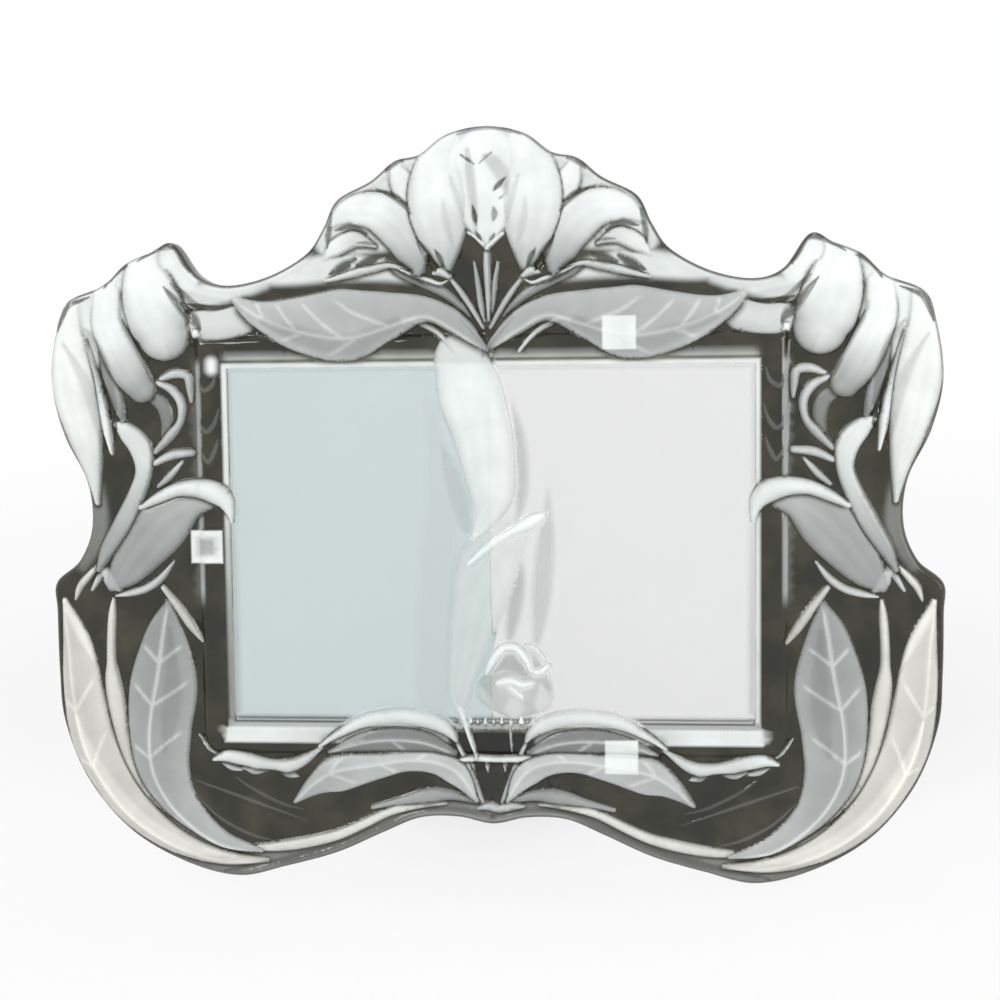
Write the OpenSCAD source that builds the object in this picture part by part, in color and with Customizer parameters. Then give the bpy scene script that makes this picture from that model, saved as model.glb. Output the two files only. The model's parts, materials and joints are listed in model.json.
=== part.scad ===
// Double photo frame of pressed glass. Two upright prints stand side by side behind one wide
// window, under a relief of leaves and petals, and a covered board closes the pocket behind them.
// The front faces -Y and leans back. The two lobes and the strut's foot stand on Z = 0.
// Panel places are [across, up the panel]; the panel's back plane passes through Y = 0 before it
// leans.

/* [Glass plate] */
// Overall width of the glass
glass_w = 302; // [292:1:316]
// Height of the glass, measured up the panel
glass_h = 255; // [248:1:266]
// Thickness of the plain plate
plate_t = 8.5; // [7.5:0.1:10]
// Width and depth of the step that softens the front edge
edge_step = 1.5; // [1:0.1:2]
// Width of the raised bead along the edge
rim_w = 2.4; // [2:0.1:3]
// Height of the bead above the plate
rim_rise = 0.8; // [0.5:0.1:1.2]
// Depth ground off the foot of each lobe
foot_grind = 0.8; // [0.5:0.1:1.2]

/* [Relief] */
// Height of the petals above the plate
petal_rise = 4.5; // [3.5:0.1:5]
// Height of the leaves above the plate
leaf_rise = 3; // [2:0.1:3.5]
// Height of the stems and rolled edges above the plate
stem_rise = 2.4; // [1.6:0.1:3]
// Radius of the beads under the bud
bead_r = 1.6; // [1.2:0.1:2]

/* [Window] */
// Height of the window's middle, measured up the panel
window_h = 114; // [112:0.5:117]
// Depth of the pocket in the glass's back
pocket_depth = 4.2; // [4:0.1:4.6]
// Width of the raised border round the window
border_w = 11; // [9:0.5:12]
// Height of the border above the plate
border_rise = 1.5; // [1:0.1:2]
// Width of the border's sloping sides
border_bevel = 2; // [1:0.1:2.5]
// How far the border reaches over the pocket at each side
cover_side = 1.5; // [1:0.1:3]
// How far the border reaches over the pocket above and below
cover_end = 4; // [3:0.1:5]

/* [Prints and backing] */
// Width of one print
print_w = 88.9; // [86:0.1:90]
// Height of one print
print_h = 127; // [124:0.1:128]
// Thickness of a print
print_t = 0.3; // [0.2:0.05:0.4]
// Gap between the two prints
print_gap = 0.4; // [0.3:0.1:1]
// Space between the prints and the pocket's walls
print_play = 0.9; // [0.7:0.1:1.2]
// Thickness of the card behind the prints
card_t = 1.5; // [1.2:0.1:1.8]
// Thickness of the lining paper
lining_t = 0.2; // [0.15:0.05:0.3]
// Thickness of the back board
board_t = 3.2; // [3:0.1:3.6]
// Thickness of the board's cover
cover_t = 0.6; // [0.4:0.05:0.8]
// Space between the covered board and the pocket's walls
board_play = 0.5; // [0.3:0.05:0.8]

/* [Strut] */
// Angle at which the panel leans back
lean_angle = 14; // [11:0.5:16]
// Angle between the panel and the open strut
open_angle = 28; // [25:0.5:32]
// Distance from the board's top edge down to the hinge's fixed leaf
hinge_drop = 5.9; // [4:0.1:12]
// Width of the strut at its top
strut_top_w = 44; // [43:1:50]
// Width of the strut at its foot
strut_foot_w = 58; // [52:1:60]
// Thickness of the strut's board
strut_board_t = 2.4; // [2:0.1:2.6]
// Thickness of the strut's cover
strut_cover_t = 0.5; // [0.4:0.05:0.6]
// Radius of the strut's corners
strut_corner_r = 5; // [3:0.5:8]

/* [Strut hinge] */
// Radius of the hinge pin
pin_r = 1; // [0.8:0.05:1.1]
// Outer radius of the knuckles
knuckle_r = 2; // [1.8:0.05:2.2]
// Thickness of the leaves' sheet steel
leaf_t = 0.8; // [0.6:0.05:1]
// Width of the hinge
hinge_w = 40; // [36:1:42]
// Length of the middle knuckle
mid_knuckle_w = 18; // [14:1:20]
// Height of the fixed leaf above the pin
fixed_leaf_h = 22; // [20:1:24]
// Length of the moving leaf below the pin
moving_leaf_h = 30; // [28:1:36]
// Radius of the rivets' shanks
rivet_r = 1.2; // [1:0.05:1.4]
// Radius of the rivets' heads
rivet_head_r = 2.6; // [2.2:0.1:3]
// Height of the rivets' heads
rivet_head_h = 0.9; // [0.6:0.05:1.1]

/* [Turn clips] */
// Side of a clip's base plate
clip_side = 12.5; // [11:0.5:13]
// Thickness of a clip's base plate
clip_base_t = 0.8; // [0.6:0.05:0.9]
// Distance of the top and bottom clips from the middle
clip_across = 44; // [42:0.5:52]
// Width of a turning tab
tab_w = 8; // [7:0.5:9]
// Thickness of a turning tab
tab_t = 0.8; // [0.6:0.05:1]
// How far a tab's end reaches over the board
tab_reach = 6; // [4:0.5:6.5]
// Radius of a clip's rivet
clip_rivet_r = 1.5; // [1.2:0.05:1.8]
// Radius of a clip rivet's head
clip_head_r = 2.9; // [2.5:0.1:3.3]
// Height of a clip rivet's head
clip_head_h = 0.8; // [0.6:0.05:1]

/* [Hidden] */
$fn = 32;

// Running play of the pins, play of the riveted joints, and the air under a tab and at the stop
pin_play = 0.05;
seat_play = 0.03;
tab_air = 0.1;
stop_air = 0.1;
// Overrun of every cut past the face that it opens
overrun = 1;

half_w = glass_w / 2;
pane_t = plate_t - pocket_depth;
pocket_w = 2 * print_w + print_gap + 2 * print_play;
pocket_h = print_h + 2 * print_play;
pocket_low = window_h - pocket_h / 2;

// Depths of the stack in the pocket, from the panel's back plane; plus is rearwards
print_y = -pocket_depth;
card_y = print_y + print_t;
lining_y = card_y + card_t;
board_y = lining_y + lining_t;
cover_y = board_y + board_t;
stack_y = cover_y + cover_t;

// How far each print stands above the pocket's lower wall
print_lift = print_play / 3;
// Margin by which the lining is smaller than the board
lining_margin = 6 * cover_t;

// Clips: the pad fills the step from the glass up to the level of the board's cover
pad_t = stack_y - clip_base_t;
pad_margin = cover_t;
clip_edge = board_play;
clip_away = clip_edge + clip_side / 2;
tab_y = stack_y + tab_air;
tab_length = clip_away + board_play + tab_reach;
lip_t = tab_t;
lip_rise = 1.5 * tab_t;
clip_corner_r = clip_side / 8;

// Hinge: its fixed leaf hangs below the board's top edge, and the pin stands off that leaf by the
// knuckle and a little air
hinge_h = pocket_low + pocket_h - board_play - hinge_drop - fixed_leaf_h;
knuckle_air = 0.3;
knuckle_gap = 0.4;
pin_head_r = 1.6 * pin_r;
pin_head_t = 0.6 * pin_r;
pin_y = stack_y + leaf_t + knuckle_air + knuckle_r;
strut_rear = knuckle_r - leaf_t;
strut_board_rear = strut_rear - strut_cover_t;
strut_board_front = strut_board_rear - strut_board_t;
strut_front = strut_board_front - lining_t;
strut_top = 1.6 * knuckle_r;
stop_h = ((knuckle_air + knuckle_r - stop_air) + strut_rear * cos(open_angle)) / sin(open_angle);
rivet_flange_h = rivet_head_h / 2;
rivet_flange_r = 0.9 * rivet_head_r;
// Rows of rivets, as shares of each leaf's height, and how far out they stand
board_row_shares = [0.32, 0.77];
board_rivet_share = 0.35;
strut_row_shares = [0.3, 0.8];
strut_rivet_share = 0.25;
board_rivet_places = [for (row = board_row_shares) for (side = [-1, 1])
                      [side * board_rivet_share * hinge_w, hinge_h + row * fixed_leaf_h]];
strut_rivet_places = [for (row = strut_row_shares) for (side = [-1, 1])
                      [side * strut_rivet_share * hinge_w, -row * moving_leaf_h]];
moving_leaf_w = 0.75 * hinge_w;

// Where the pin stands once the panel leans, and the strut's length down to the table, with a
// little to spare for the level cut of its foot
pin_back = hinge_h * sin(lean_angle) + pin_y * cos(lean_angle);
pin_up = hinge_h * cos(lean_angle) - pin_y * sin(lean_angle);
strut_angle = open_angle - lean_angle;
foot_spare = 0.4;
strut_length = pin_up / cos(strut_angle) + strut_rear * tan(strut_angle) + foot_spare;
foot_back = pin_back + pin_up * tan(strut_angle) + strut_rear / cos(strut_angle);

// Middle of the depth, between the front of the lobes and the back of the strut's foot
front_reach = (plate_t + rim_rise) * cos(lean_angle);
middle_back = (foot_back - front_reach) / 2;

// Each clip's pivot on the panel, and the direction in which its tab points
clip_left = [[-pocket_w / 2 - clip_away, window_h], 0];
clip_top = [[clip_across, window_h + pocket_h / 2 + clip_away], -90];
clip_bottom = [[clip_across, window_h - pocket_h / 2 - clip_away], 90];
clips = [clip_left, clip_top, clip_bottom];

// Outline of the glass: half of it, from the crown down to the middle of the arch, as shares of
// half the width and of the height
outline_shares = [
    [0, 0.998], [0.086, 0.988], [0.146, 0.963], [0.202, 0.955], [0.255, 0.93], [0.331, 0.906],
    [0.364, 0.869], [0.404, 0.836], [0.49, 0.808], [0.583, 0.797], [0.649, 0.81], [0.705, 0.853],
    [0.755, 0.842], [0.815, 0.827], [0.868, 0.799], [0.95, 0.778], [0.977, 0.737], [0.992, 0.667],
    [0.967, 0.6], [0.917, 0.537], [0.909, 0.478], [0.94, 0.431], [0.996, 0.401], [0.997, 0.361],
    [0.996, 0.282], [0.987, 0.212], [0.937, 0.133], [0.841, 0.063], [0.715, 0.019], [0.589, 0],
    [0.477, 0.014], [0.358, 0.034], [0.252, 0.062], [0.166, 0.083], [0.079, 0.085], [0, 0.076]];
outline_steps = 2;

// Ornaments on both sides of the middle. Each row holds the spine's points as shares of half the
// width and of the height, the half width as a share of half the width, where along the spine it
// is widest, how slender its ends are, and its rise.
side_ornament_shares = [
    // Corner flower: three petals and a slim one between them
    [[[0.703, 0.851], [0.753, 0.796], [0.749, 0.736], [0.707, 0.687]], 0.079, 0.58, 0.6, petal_rise],
    [[[0.923, 0.795], [0.866, 0.744], [0.818, 0.69], [0.779, 0.644]], 0.045, 0.45, 0.55, petal_rise],
    [[[0.925, 0.765], [0.94, 0.679], [0.918, 0.599], [0.885, 0.522]], 0.036, 0.45, 0.7, petal_rise],
    [[[0.926, 0.748], [0.901, 0.684], [0.87, 0.628], [0.856, 0.575]], 0.018, 0.5, 0.8, leaf_rise],
    // Stem below the flower, its curl and three twigs
    [[[0.85, 0.612], [0.784, 0.574], [0.793, 0.534], [0.861, 0.483], [0.894, 0.422]],
     0.023, 0.35, 0.45, leaf_rise],
    [[[0.741, 0.664], [0.7, 0.649], [0.694, 0.627], [0.721, 0.601], [0.754, 0.575]],
     0.013, 0.5, 0.4, stem_rise],
    [[[0.74, 0.673], [0.708, 0.678], [0.674, 0.673]], 0.011, 0.5, 0.5, stem_rise],
    [[[0.755, 0.559], [0.717, 0.571], [0.676, 0.573]], 0.011, 0.5, 0.5, stem_rise],
    [[[0.752, 0.529], [0.724, 0.542], [0.697, 0.559]], 0.011, 0.5, 0.5, stem_rise],
    // Side leaf with its rolled edge and the knob over the window
    [[[0.865, 0.396], [0.817, 0.438], [0.738, 0.479], [0.644, 0.509]], 0.054, 0.42, 0.8, leaf_rise],
    [[[0.795, 0.495], [0.738, 0.518], [0.664, 0.527], [0.604, 0.532], [0.568, 0.523],
      [0.564, 0.501]], 0.017, 0.6, 0.4, petal_rise],
    // Slanting ridge, veined leaf, leaf along the rim and the stem between them
    [[[0.746, 0.392], [0.702, 0.357], [0.655, 0.319]], 0.01, 0.5, 0.5, stem_rise],
    [[[0.738, 0.372], [0.744, 0.307], [0.757, 0.225], [0.756, 0.149], [0.707, 0.094],
      [0.601, 0.052]], 0.079, 0.38, 0.9, leaf_rise],
    [[[0.976, 0.38], [0.946, 0.306], [0.93, 0.238], [0.883, 0.155], [0.789, 0.08],
      [0.652, 0.031], [0.533, 0.014]], 0.057, 0.42, 0.75, leaf_rise],
    [[[0.871, 0.371], [0.868, 0.286], [0.846, 0.208], [0.796, 0.135], [0.694, 0.071],
      [0.548, 0.031]], 0.011, 0.5, 0.4, stem_rise],
    // Bottom leaf, the rolled leaf above it, and the stem and wave beside them
    [[[0.453, 0.1], [0.348, 0.136], [0.21, 0.156], [0.107, 0.146], [0.029, 0.102]],
     0.041, 0.5, 0.8, petal_rise],
    [[[0.398, 0.163], [0.301, 0.183], [0.209, 0.192], [0.118, 0.184], [0.05, 0.157]],
     0.032, 0.5, 0.7, leaf_rise],
    [[[0.411, 0.162], [0.356, 0.193], [0.291, 0.212], [0.206, 0.22], [0.126, 0.211],
      [0.068, 0.184]], 0.014, 0.5, 0.4, petal_rise],
    [[[0.587, 0.164], [0.527, 0.155], [0.463, 0.145], [0.407, 0.161]], 0.011, 0.5, 0.4, stem_rise],
    [[[0.285, 0.092], [0.223, 0.106], [0.165, 0.117], [0.097, 0.105], [0.029, 0.095]],
     0.011, 0.5, 0.5, stem_rise],
    // Leaf over the window, with the stems that run down to the middle
    [[[0.564, 0.773], [0.452, 0.75], [0.306, 0.744], [0.149, 0.743], [0.056, 0.729],
      [0.006, 0.7]], 0.07, 0.42, 0.8, leaf_rise],
    [[[0.083, 0.803], [0.054, 0.781], [0.03, 0.756], [0.011, 0.736]], 0.009, 0.5, 0.4, stem_rise],
    // Crown: side lobe, the petal behind it and the frill below
    [[[0.147, 0.805], [0.181, 0.856], [0.252, 0.894], [0.338, 0.872]], 0.052, 0.52, 0.6, petal_rise],
    [[[0.103, 0.82], [0.163, 0.895], [0.208, 0.951]], 0.058, 0.62, 0.55, leaf_rise],
    [[[0.356, 0.844], [0.289, 0.84], [0.214, 0.808]], 0.025, 0.45, 0.7, leaf_rise]];

// Ornaments that stand alone on or near the middle, in the same form
middle_ornament_shares = [
    [[[0, 0.799], [0, 0.867], [0, 0.931], [0, 0.989]], 0.164, 0.6, 0.55, petal_rise],
    [[[0, 0.847], [0, 0.819], [0, 0.783], [0, 0.747]], 0.008, 0.5, 0.4, stem_rise],
    // Hanging leaf, its rolled fold and the leaf below
    [[[-0.056, 0.705], [-0.035, 0.647], [-0.005, 0.587], [0.018, 0.528], [-0.021, 0.461]],
     0.07, 0.34, 0.6, leaf_rise],
    [[[0.095, 0.471], [0.023, 0.409], [-0.033, 0.335], [-0.064, 0.268], [-0.068, 0.211]],
     0.074, 0.36, 0.7, leaf_rise],
    [[[-0.044, 0.421], [0.005, 0.453], [0.06, 0.47], [0.122, 0.488]],
     0.013, 0.6, 0.4, petal_rise],
    // Bud and its four curled petals
    [[[0.052, 0.322], [0.051, 0.269], [0.046, 0.209]], 0.09, 0.6, 0.5, leaf_rise],
    [[[-0.012, 0.276], [0.021, 0.309], [0.05, 0.314], [0.087, 0.279], [0.121, 0.285]],
     0.012, 0.4, 0.4, petal_rise],
    [[[0.017, 0.26], [0.046, 0.267], [0.077, 0.247]], 0.011, 0.5, 0.4, petal_rise],
    [[[0.044, 0.274], [0.069, 0.265], [0.096, 0.261]], 0.011, 0.5, 0.4, petal_rise],
    [[[0.083, 0.321], [0.103, 0.311], [0.119, 0.298]], 0.01, 0.5, 0.4, petal_rise]];

// Height of an ornament's side walls as a share of its rise, how far in from its edge they
// stand, and the least width at its ends
edge_rise_share = 0.4;
edge_width_share = 0.86;
end_width_share = 0.12;
// How deep an ornament's root lies in the plate, and the stations along the spine of a broad
// ornament and of a slim one
root_depth = pane_t / 4;
broad_steps = 9;
slim_steps = 6;
slim_width_share = 0.02;
bead_count = 6;
bead_row_share = 0.2;

// The point at t, from 0 to 1, on a smooth curve through the points
function curve(points, t) =
    let (last = len(points) - 1, s = min(t, 1) * last, i = min(floor(s), last - 1), f = s - i,
         a = points[max(i - 1, 0)], b = points[i], c = points[i + 1], d = points[min(i + 2, last)])
    (2 * b + (c - a) * f + (2 * a - 5 * b + 4 * c - d) * f * f
     + (3 * b - a - 3 * c + d) * f * f * f) / 2;

// Half of the outline in millimetres, from the crown to the arch, lowered by the foot's grinding
function half_outline() =
    let (points = [for (p = outline_shares) [p.x * half_w, p.y * glass_h - foot_grind]],
         last = (len(points) - 1) * outline_steps)
    [for (i = [0 : last]) curve(points, i / last)];

function full_outline() =
    let (half = half_outline(), last = len(half) - 1)
    concat(half, [for (i = [last - 1 : -1 : 1]) [-half[i].x, half[i].y]]);

// Corner points of a rectangle or trapezoid with round corners, from its lower left round
function round_corner(centre, r, from, steps) =
    [for (i = [0 : steps]) centre + r * [cos(from + 90 * i / steps), sin(from + 90 * i / steps)]];

// Puts a piece of the upright panel where the leaning panel stands
module leaning() {
    translate([0, -middle_back, 0]) rotate([-lean_angle, 0, 0]) children();
}

// Puts a piece of the strut, drawn hanging from the pin, where the open strut stands
module strutted() {
    translate([0, pin_back - middle_back, pin_up]) rotate([strut_angle, 0, 0]) children();
}

// Cuts away what lies below a level
module above(level) {
    difference() {
        children();
        translate([-glass_w, -glass_h, level - glass_h]) cube([2 * glass_w, 2 * glass_h, glass_h]);
    }
}

// A drawing of the panel, [across, up], given a depth from one Y to another
module slab(from, to) {
    translate([0, to, 0]) rotate([90, 0, 0]) linear_extrude(to - from) children();
}

// A round rod along Y at a place on the panel
module rod(place, r, from, to) {
    translate([place.x, from, place.y]) rotate([-90, 0, 0]) cylinder(r = r, h = to - from);
}

// A domed blade that follows a spine on the front of the plate
module ornament(row, side) {
    spine = [for (p = row[0]) [side * p.x * half_w, p.y * glass_h]];
    half_width = row[1] * half_w;
    bend = ln(0.5) / ln(row[2]);
    rise = row[4];
    steps = row[1] < slim_width_share && len(row[0]) < 5 ? slim_steps : broad_steps;
    rings = [for (i = [0 : steps])
        let (t = i / steps,
             here = curve(spine, t),
             along = curve(spine, min(t + 0.5 / steps, 1)) - curve(spine, max(t - 0.5 / steps, 0)),
             across = [-along.y, along.x] / norm(along),
             full = pow(abs(sin(180 * pow(t, bend))), row[3]),
             reach = half_width * max(full, end_width_share),
             wall = rise * edge_rise_share,
             top = wall + (rise - wall) * sqrt(full))
        [for (c = [[-1, -root_depth], [-edge_width_share, wall], [0, top],
                   [edge_width_share, wall], [1, -root_depth]])
            [here.x + across.x * reach * c.x, -plate_t - c.y, here.y + across.y * reach * c.x]]];
    count = len(rings[0]);
    points = [for (ring = rings) for (p = ring) p];
    sides = [for (i = [0 : steps - 1]) for (j = [0 : count - 1])
        let (a = i * count + j, b = i * count + (j + 1) % count, c = b + count, d = a + count)
        each [[a, b, c], [a, c, d]]];
    first = [for (j = [count - 1 : -1 : 0]) j];
    last = [for (j = [0 : count - 1]) steps * count + j];
    polyhedron(points, concat(sides, [first, last]));
}

// One bar of the window's border, with sloping sides
module border_bar(low, high) {
    slope = [border_bevel, border_bevel];
    hull() {
        slab(-plate_t - border_rise / 2, -pane_t) translate(low) square(high - low);
        slab(-plate_t - border_rise, -pane_t) translate(low + slope) square(high - low - 2 * slope);
    }
}

module window_border() {
    inner = [pocket_w / 2 - cover_side, pocket_h / 2 - cover_end];
    outer = inner + [border_w, border_w];
    translate([0, 0, window_h]) {
        border_bar([-outer.x, -outer.y], [-inner.x, outer.y]);
        border_bar([inner.x, -outer.y], [outer.x, outer.y]);
        border_bar([-outer.x, inner.y], [outer.x, outer.y]);
        border_bar([-outer.x, -outer.y], [outer.x, -inner.y]);
    }
}

// Row of small beads below the bud
module bead_row() {
    for (i = [0 : bead_count - 1])
        translate([(i - (bead_count - 2) / 2) * 2 * bead_r, -plate_t, bead_row_share * glass_h])
            hull() {
                sphere(bead_r, $fn = 8);
                translate([0, -border_rise, 0]) sphere(0.8 * bead_r, $fn = 8);
            }
}

module plate() {
    slab(edge_step - plate_t, 0) polygon(full_outline());
    slab(-plate_t, edge_step - plate_t) offset(delta = -edge_step) polygon(full_outline());
    slab(-plate_t - rim_rise, edge_step - plate_t) difference() {
        offset(delta = -edge_step / 2) polygon(full_outline());
        offset(delta = -edge_step / 2 - rim_w) polygon(full_outline());
    }
}

module relief() {
    intersection() {
        slab(-plate_t - 2 * petal_rise, -pane_t) offset(delta = -edge_step / 2)
            polygon(full_outline());
        union() {
            for (row = side_ornament_shares) for (side = [-1, 1]) ornament(row, side);
            for (row = middle_ornament_shares) ornament(row, 1);
            window_border();
            bead_row();
        }
    }
}

module glass_frame() {
    color([0.72, 0.76, 0.75, 0.6]) above(0) leaning() difference() {
        union() {
            plate();
            relief();
        }
        slab(-pocket_depth, overrun) translate([-pocket_w / 2, pocket_low])
            square([pocket_w, pocket_h]);
    }
}

// One print, on the left with side -1 or on the right with side 1
module print(side) {
    low = side > 0 ? print_gap / 2 : -print_gap / 2 - print_w;
    leaning() translate([low, print_y, pocket_low + print_lift]) cube([print_w, print_t, print_h]);
}

module photo_left() {
    color([0.81, 0.855, 0.855]) print(-1);
}

module photo_right() {
    color([0.92, 0.92, 0.92]) print(1);
}

// A sheet of the back, smaller than the pocket by a margin all round
module sheet(margin, from, thickness) {
    translate([-pocket_w / 2 + margin, from, pocket_low + margin])
        cube([pocket_w - 2 * margin, thickness, pocket_h - 2 * margin]);
}

module filler_card() {
    color([0.78, 0.75, 0.68]) leaning() sheet(board_play, card_y, card_t);
}

module board_lining() {
    color([0.12, 0.12, 0.12]) leaning() sheet(board_play + lining_margin, lining_y, lining_t);
}

module back_board() {
    color([0.45, 0.36, 0.27]) leaning() difference() {
        sheet(board_play + cover_t, board_y, board_t);
        for (place = board_rivet_places) {
            rod(place, rivet_r + seat_play, board_y - overrun, cover_y + overrun);
            rod(place, rivet_flange_r + seat_play, board_y - overrun, board_y + rivet_flange_h);
        }
    }
}

module board_cover() {
    color([0.05, 0.05, 0.055]) leaning() difference() {
        sheet(board_play, board_y, board_t + cover_t);
        translate([0, board_y - overrun, 0]) sheet(board_play + cover_t, 0, board_t + overrun);
        for (place = board_rivet_places)
            rod(place, rivet_r + seat_play, cover_y - overrun, stack_y + overrun);
    }
}

// A knuckle along X round the pin, from one X to another
module knuckle(from, to, r) {
    translate([from, 0, 0]) rotate([0, 90, 0]) cylinder(r = r, h = to - from);
}

module hinge_fixed_leaf() {
    inner = mid_knuckle_w / 2 + knuckle_gap;
    color([0.72, 0.72, 0.73]) leaning() difference() {
        union() {
            translate([-hinge_w / 2, stack_y, hinge_h]) cube([hinge_w, leaf_t, fixed_leaf_h]);
            for (low = [-hinge_w / 2, inner]) {
                translate([low, stack_y, hinge_h])
                    cube([hinge_w / 2 - inner, pin_y - stack_y, knuckle_r]);
                translate([0, pin_y, hinge_h]) knuckle(low, low + hinge_w / 2 - inner, knuckle_r);
            }
        }
        translate([0, pin_y, hinge_h]) knuckle(-hinge_w, hinge_w, pin_r + seat_play);
        for (place = board_rivet_places)
            rod(place, rivet_r + seat_play, stack_y - overrun, stack_y + leaf_t + overrun);
    }
}

module hinge_pin() {
    reach = hinge_w / 2 + seat_play;
    color([0.8, 0.8, 0.81]) leaning() translate([0, pin_y, hinge_h]) {
        knuckle(-reach, reach, pin_r);
        knuckle(-reach - pin_head_t, -reach, pin_head_r);
        knuckle(reach, reach + pin_head_t, pin_head_r);
    }
}

// A rivet along Y: flange in the board, shank, and a low tapered head on the leaf
module rivet(place, from, to) {
    rod(place, rivet_flange_r, from, from + rivet_flange_h);
    rod(place, rivet_r, from, to + rivet_head_h / 2);
    translate([place.x, to, place.y]) rotate([-90, 0, 0])
        cylinder(r1 = rivet_head_r, r2 = rivet_head_r / 2, h = rivet_head_h);
}

module board_rivets() {
    color([0.78, 0.78, 0.79]) leaning()
        for (place = board_rivet_places) rivet(place, board_y, stack_y + leaf_t);
}

module hinge_moving_leaf() {
    shoulder = 1.3 * knuckle_r;
    color([0.72, 0.72, 0.73]) strutted() difference() {
        union() {
            translate([-moving_leaf_w / 2, strut_rear, -moving_leaf_h])
                cube([moving_leaf_w, leaf_t, moving_leaf_h - shoulder]);
            translate([-mid_knuckle_w / 2, strut_rear, -shoulder])
                cube([mid_knuckle_w, leaf_t, shoulder + stop_h]);
            knuckle(-mid_knuckle_w / 2, mid_knuckle_w / 2, knuckle_r);
        }
        knuckle(-hinge_w, hinge_w, pin_r + pin_play);
        for (place = strut_rivet_places)
            rod(place, rivet_r + seat_play, strut_rear - overrun, knuckle_r + overrun);
    }
}

// Outline of the strut, hanging from the pin, drawn in by an inset all round
module strut_outline(inset) {
    r = strut_corner_r - inset;
    top = -strut_top - inset;
    foot = -strut_length + inset;
    top_x = strut_top_w / 2 - inset - r;
    foot_x = strut_foot_w / 2 - inset - r;
    polygon(concat(
        round_corner([top_x, top - r], r, 0, 6),
        round_corner([-top_x, top - r], r, 90, 6),
        round_corner([-foot_x, foot + r], r, 180, 6),
        round_corner([foot_x, foot + r], r, 270, 6)));
}

module strut_board() {
    color([0.45, 0.36, 0.27]) above(strut_cover_t) strutted() difference() {
        slab(strut_board_front, strut_board_rear) strut_outline(strut_cover_t);
        for (place = strut_rivet_places) {
            rod(place, rivet_r + seat_play, strut_board_front - overrun, strut_rear);
            rod(place, rivet_flange_r + seat_play, strut_board_front - overrun,
                strut_board_front + rivet_flange_h);
        }
    }
}

module strut_cover() {
    color([0.05, 0.05, 0.055]) above(0) difference() {
        strutted() slab(strut_board_front, strut_rear) strut_outline(0);
        above(strut_cover_t) strutted()
            slab(strut_board_front - overrun, strut_board_rear) strut_outline(strut_cover_t);
        strutted() for (place = strut_rivet_places)
            rod(place, rivet_r + seat_play, strut_board_rear - overrun, knuckle_r);
    }
}

module strut_lining() {
    color([0.12, 0.12, 0.12]) above(2 * strut_cover_t) strutted()
        slab(strut_front, strut_board_front) strut_outline(2 * strut_cover_t);
}

module strut_rivets() {
    color([0.78, 0.78, 0.79]) strutted()
        for (place = strut_rivet_places) rivet(place, strut_board_front, knuckle_r);
}

// Puts a piece of a clip, drawn round its pivot, where the clip stands on the panel
module at_clip(clip) {
    translate([clip[0].x, 0, clip[0].y]) rotate([0, -clip[1], 0]) children();
}

// A square sheet round a clip's pivot, with round corners
module clip_sheet(side, from, to) {
    r = clip_corner_r;
    in = side / 2 - r;
    slab(from, to) polygon(concat(
        round_corner([in, in], r, 0, 4), round_corner([-in, in], r, 90, 4),
        round_corner([-in, -in], r, 180, 4), round_corner([in, -in], r, 270, 4)));
}

module clip_pads() {
    color([0.9, 0.9, 0.88]) leaning()
        for (clip = clips) at_clip(clip) clip_sheet(clip_side - pad_margin, 0, pad_t);
}

module clip_bases() {
    color([0.8, 0.81, 0.82]) leaning() for (clip = clips) at_clip(clip) difference() {
        clip_sheet(clip_side, pad_t, stack_y);
        rod([0, 0], clip_rivet_r + seat_play, pad_t - overrun, stack_y + overrun);
    }
}

module clip_rivets() {
    top = tab_y + tab_t + tab_air;
    color([0.78, 0.78, 0.79]) leaning() for (clip = clips) at_clip(clip) {
        rod([0, 0], clip_rivet_r, pad_t, top + clip_head_h / 2);
        translate([0, top, 0]) rotate([-90, 0, 0])
            cylinder(r1 = clip_head_r, r2 = clip_head_r / 2, h = clip_head_h);
    }
}

// A turning tab: a strip with round ends and an upturned lip at its far end
module clip_tab(clip) {
    reach = tab_length - tab_w / 2;
    color([0.75, 0.76, 0.77]) leaning() at_clip(clip) difference() {
        union() {
            translate([0, tab_y, -tab_w / 2]) cube([reach, tab_t, tab_w]);
            rod([0, 0], tab_w / 2, tab_y, tab_y + tab_t);
            rod([reach, 0], tab_w / 2, tab_y, tab_y + tab_t);
            translate([tab_length - 1.5 * lip_t, tab_y, -tab_w / 4])
                cube([lip_t, tab_t + lip_rise, tab_w / 2]);
        }
        rod([0, 0], clip_rivet_r + pin_play, tab_y - overrun, tab_y + tab_t + overrun);
    }
}

glass_frame();
photo_left();
photo_right();
filler_card();
board_lining();
back_board();
board_cover();
hinge_fixed_leaf();
hinge_pin();
board_rivets();
hinge_moving_leaf();
strut_board();
strut_cover();
strut_lining();
strut_rivets();
clip_pads();
clip_bases();
clip_rivets();
clip_tab(clip_left);  // clip_tab_left
clip_tab(clip_top);  // clip_tab_top
clip_tab(clip_bottom);  // clip_tab_bottom
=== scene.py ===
"""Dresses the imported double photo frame: pressed glass, prints, covered back, strut and clips.

Sizes are in millimetres on the upright panel, as across, depth and up. Depth 0 is the panel's back
plane and the front lies towards minus. A Stance turns such points into metres in the frame's place.
"""

import json
import logging
import math
from collections.abc import Callable, Iterable, Mapping, Sequence
from dataclasses import dataclass, field, replace
from enum import Enum
from functools import partial

import bpy
import numpy as np
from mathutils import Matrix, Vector, kdtree
from mathutils.geometry import delaunay_2d_cdt

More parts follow.
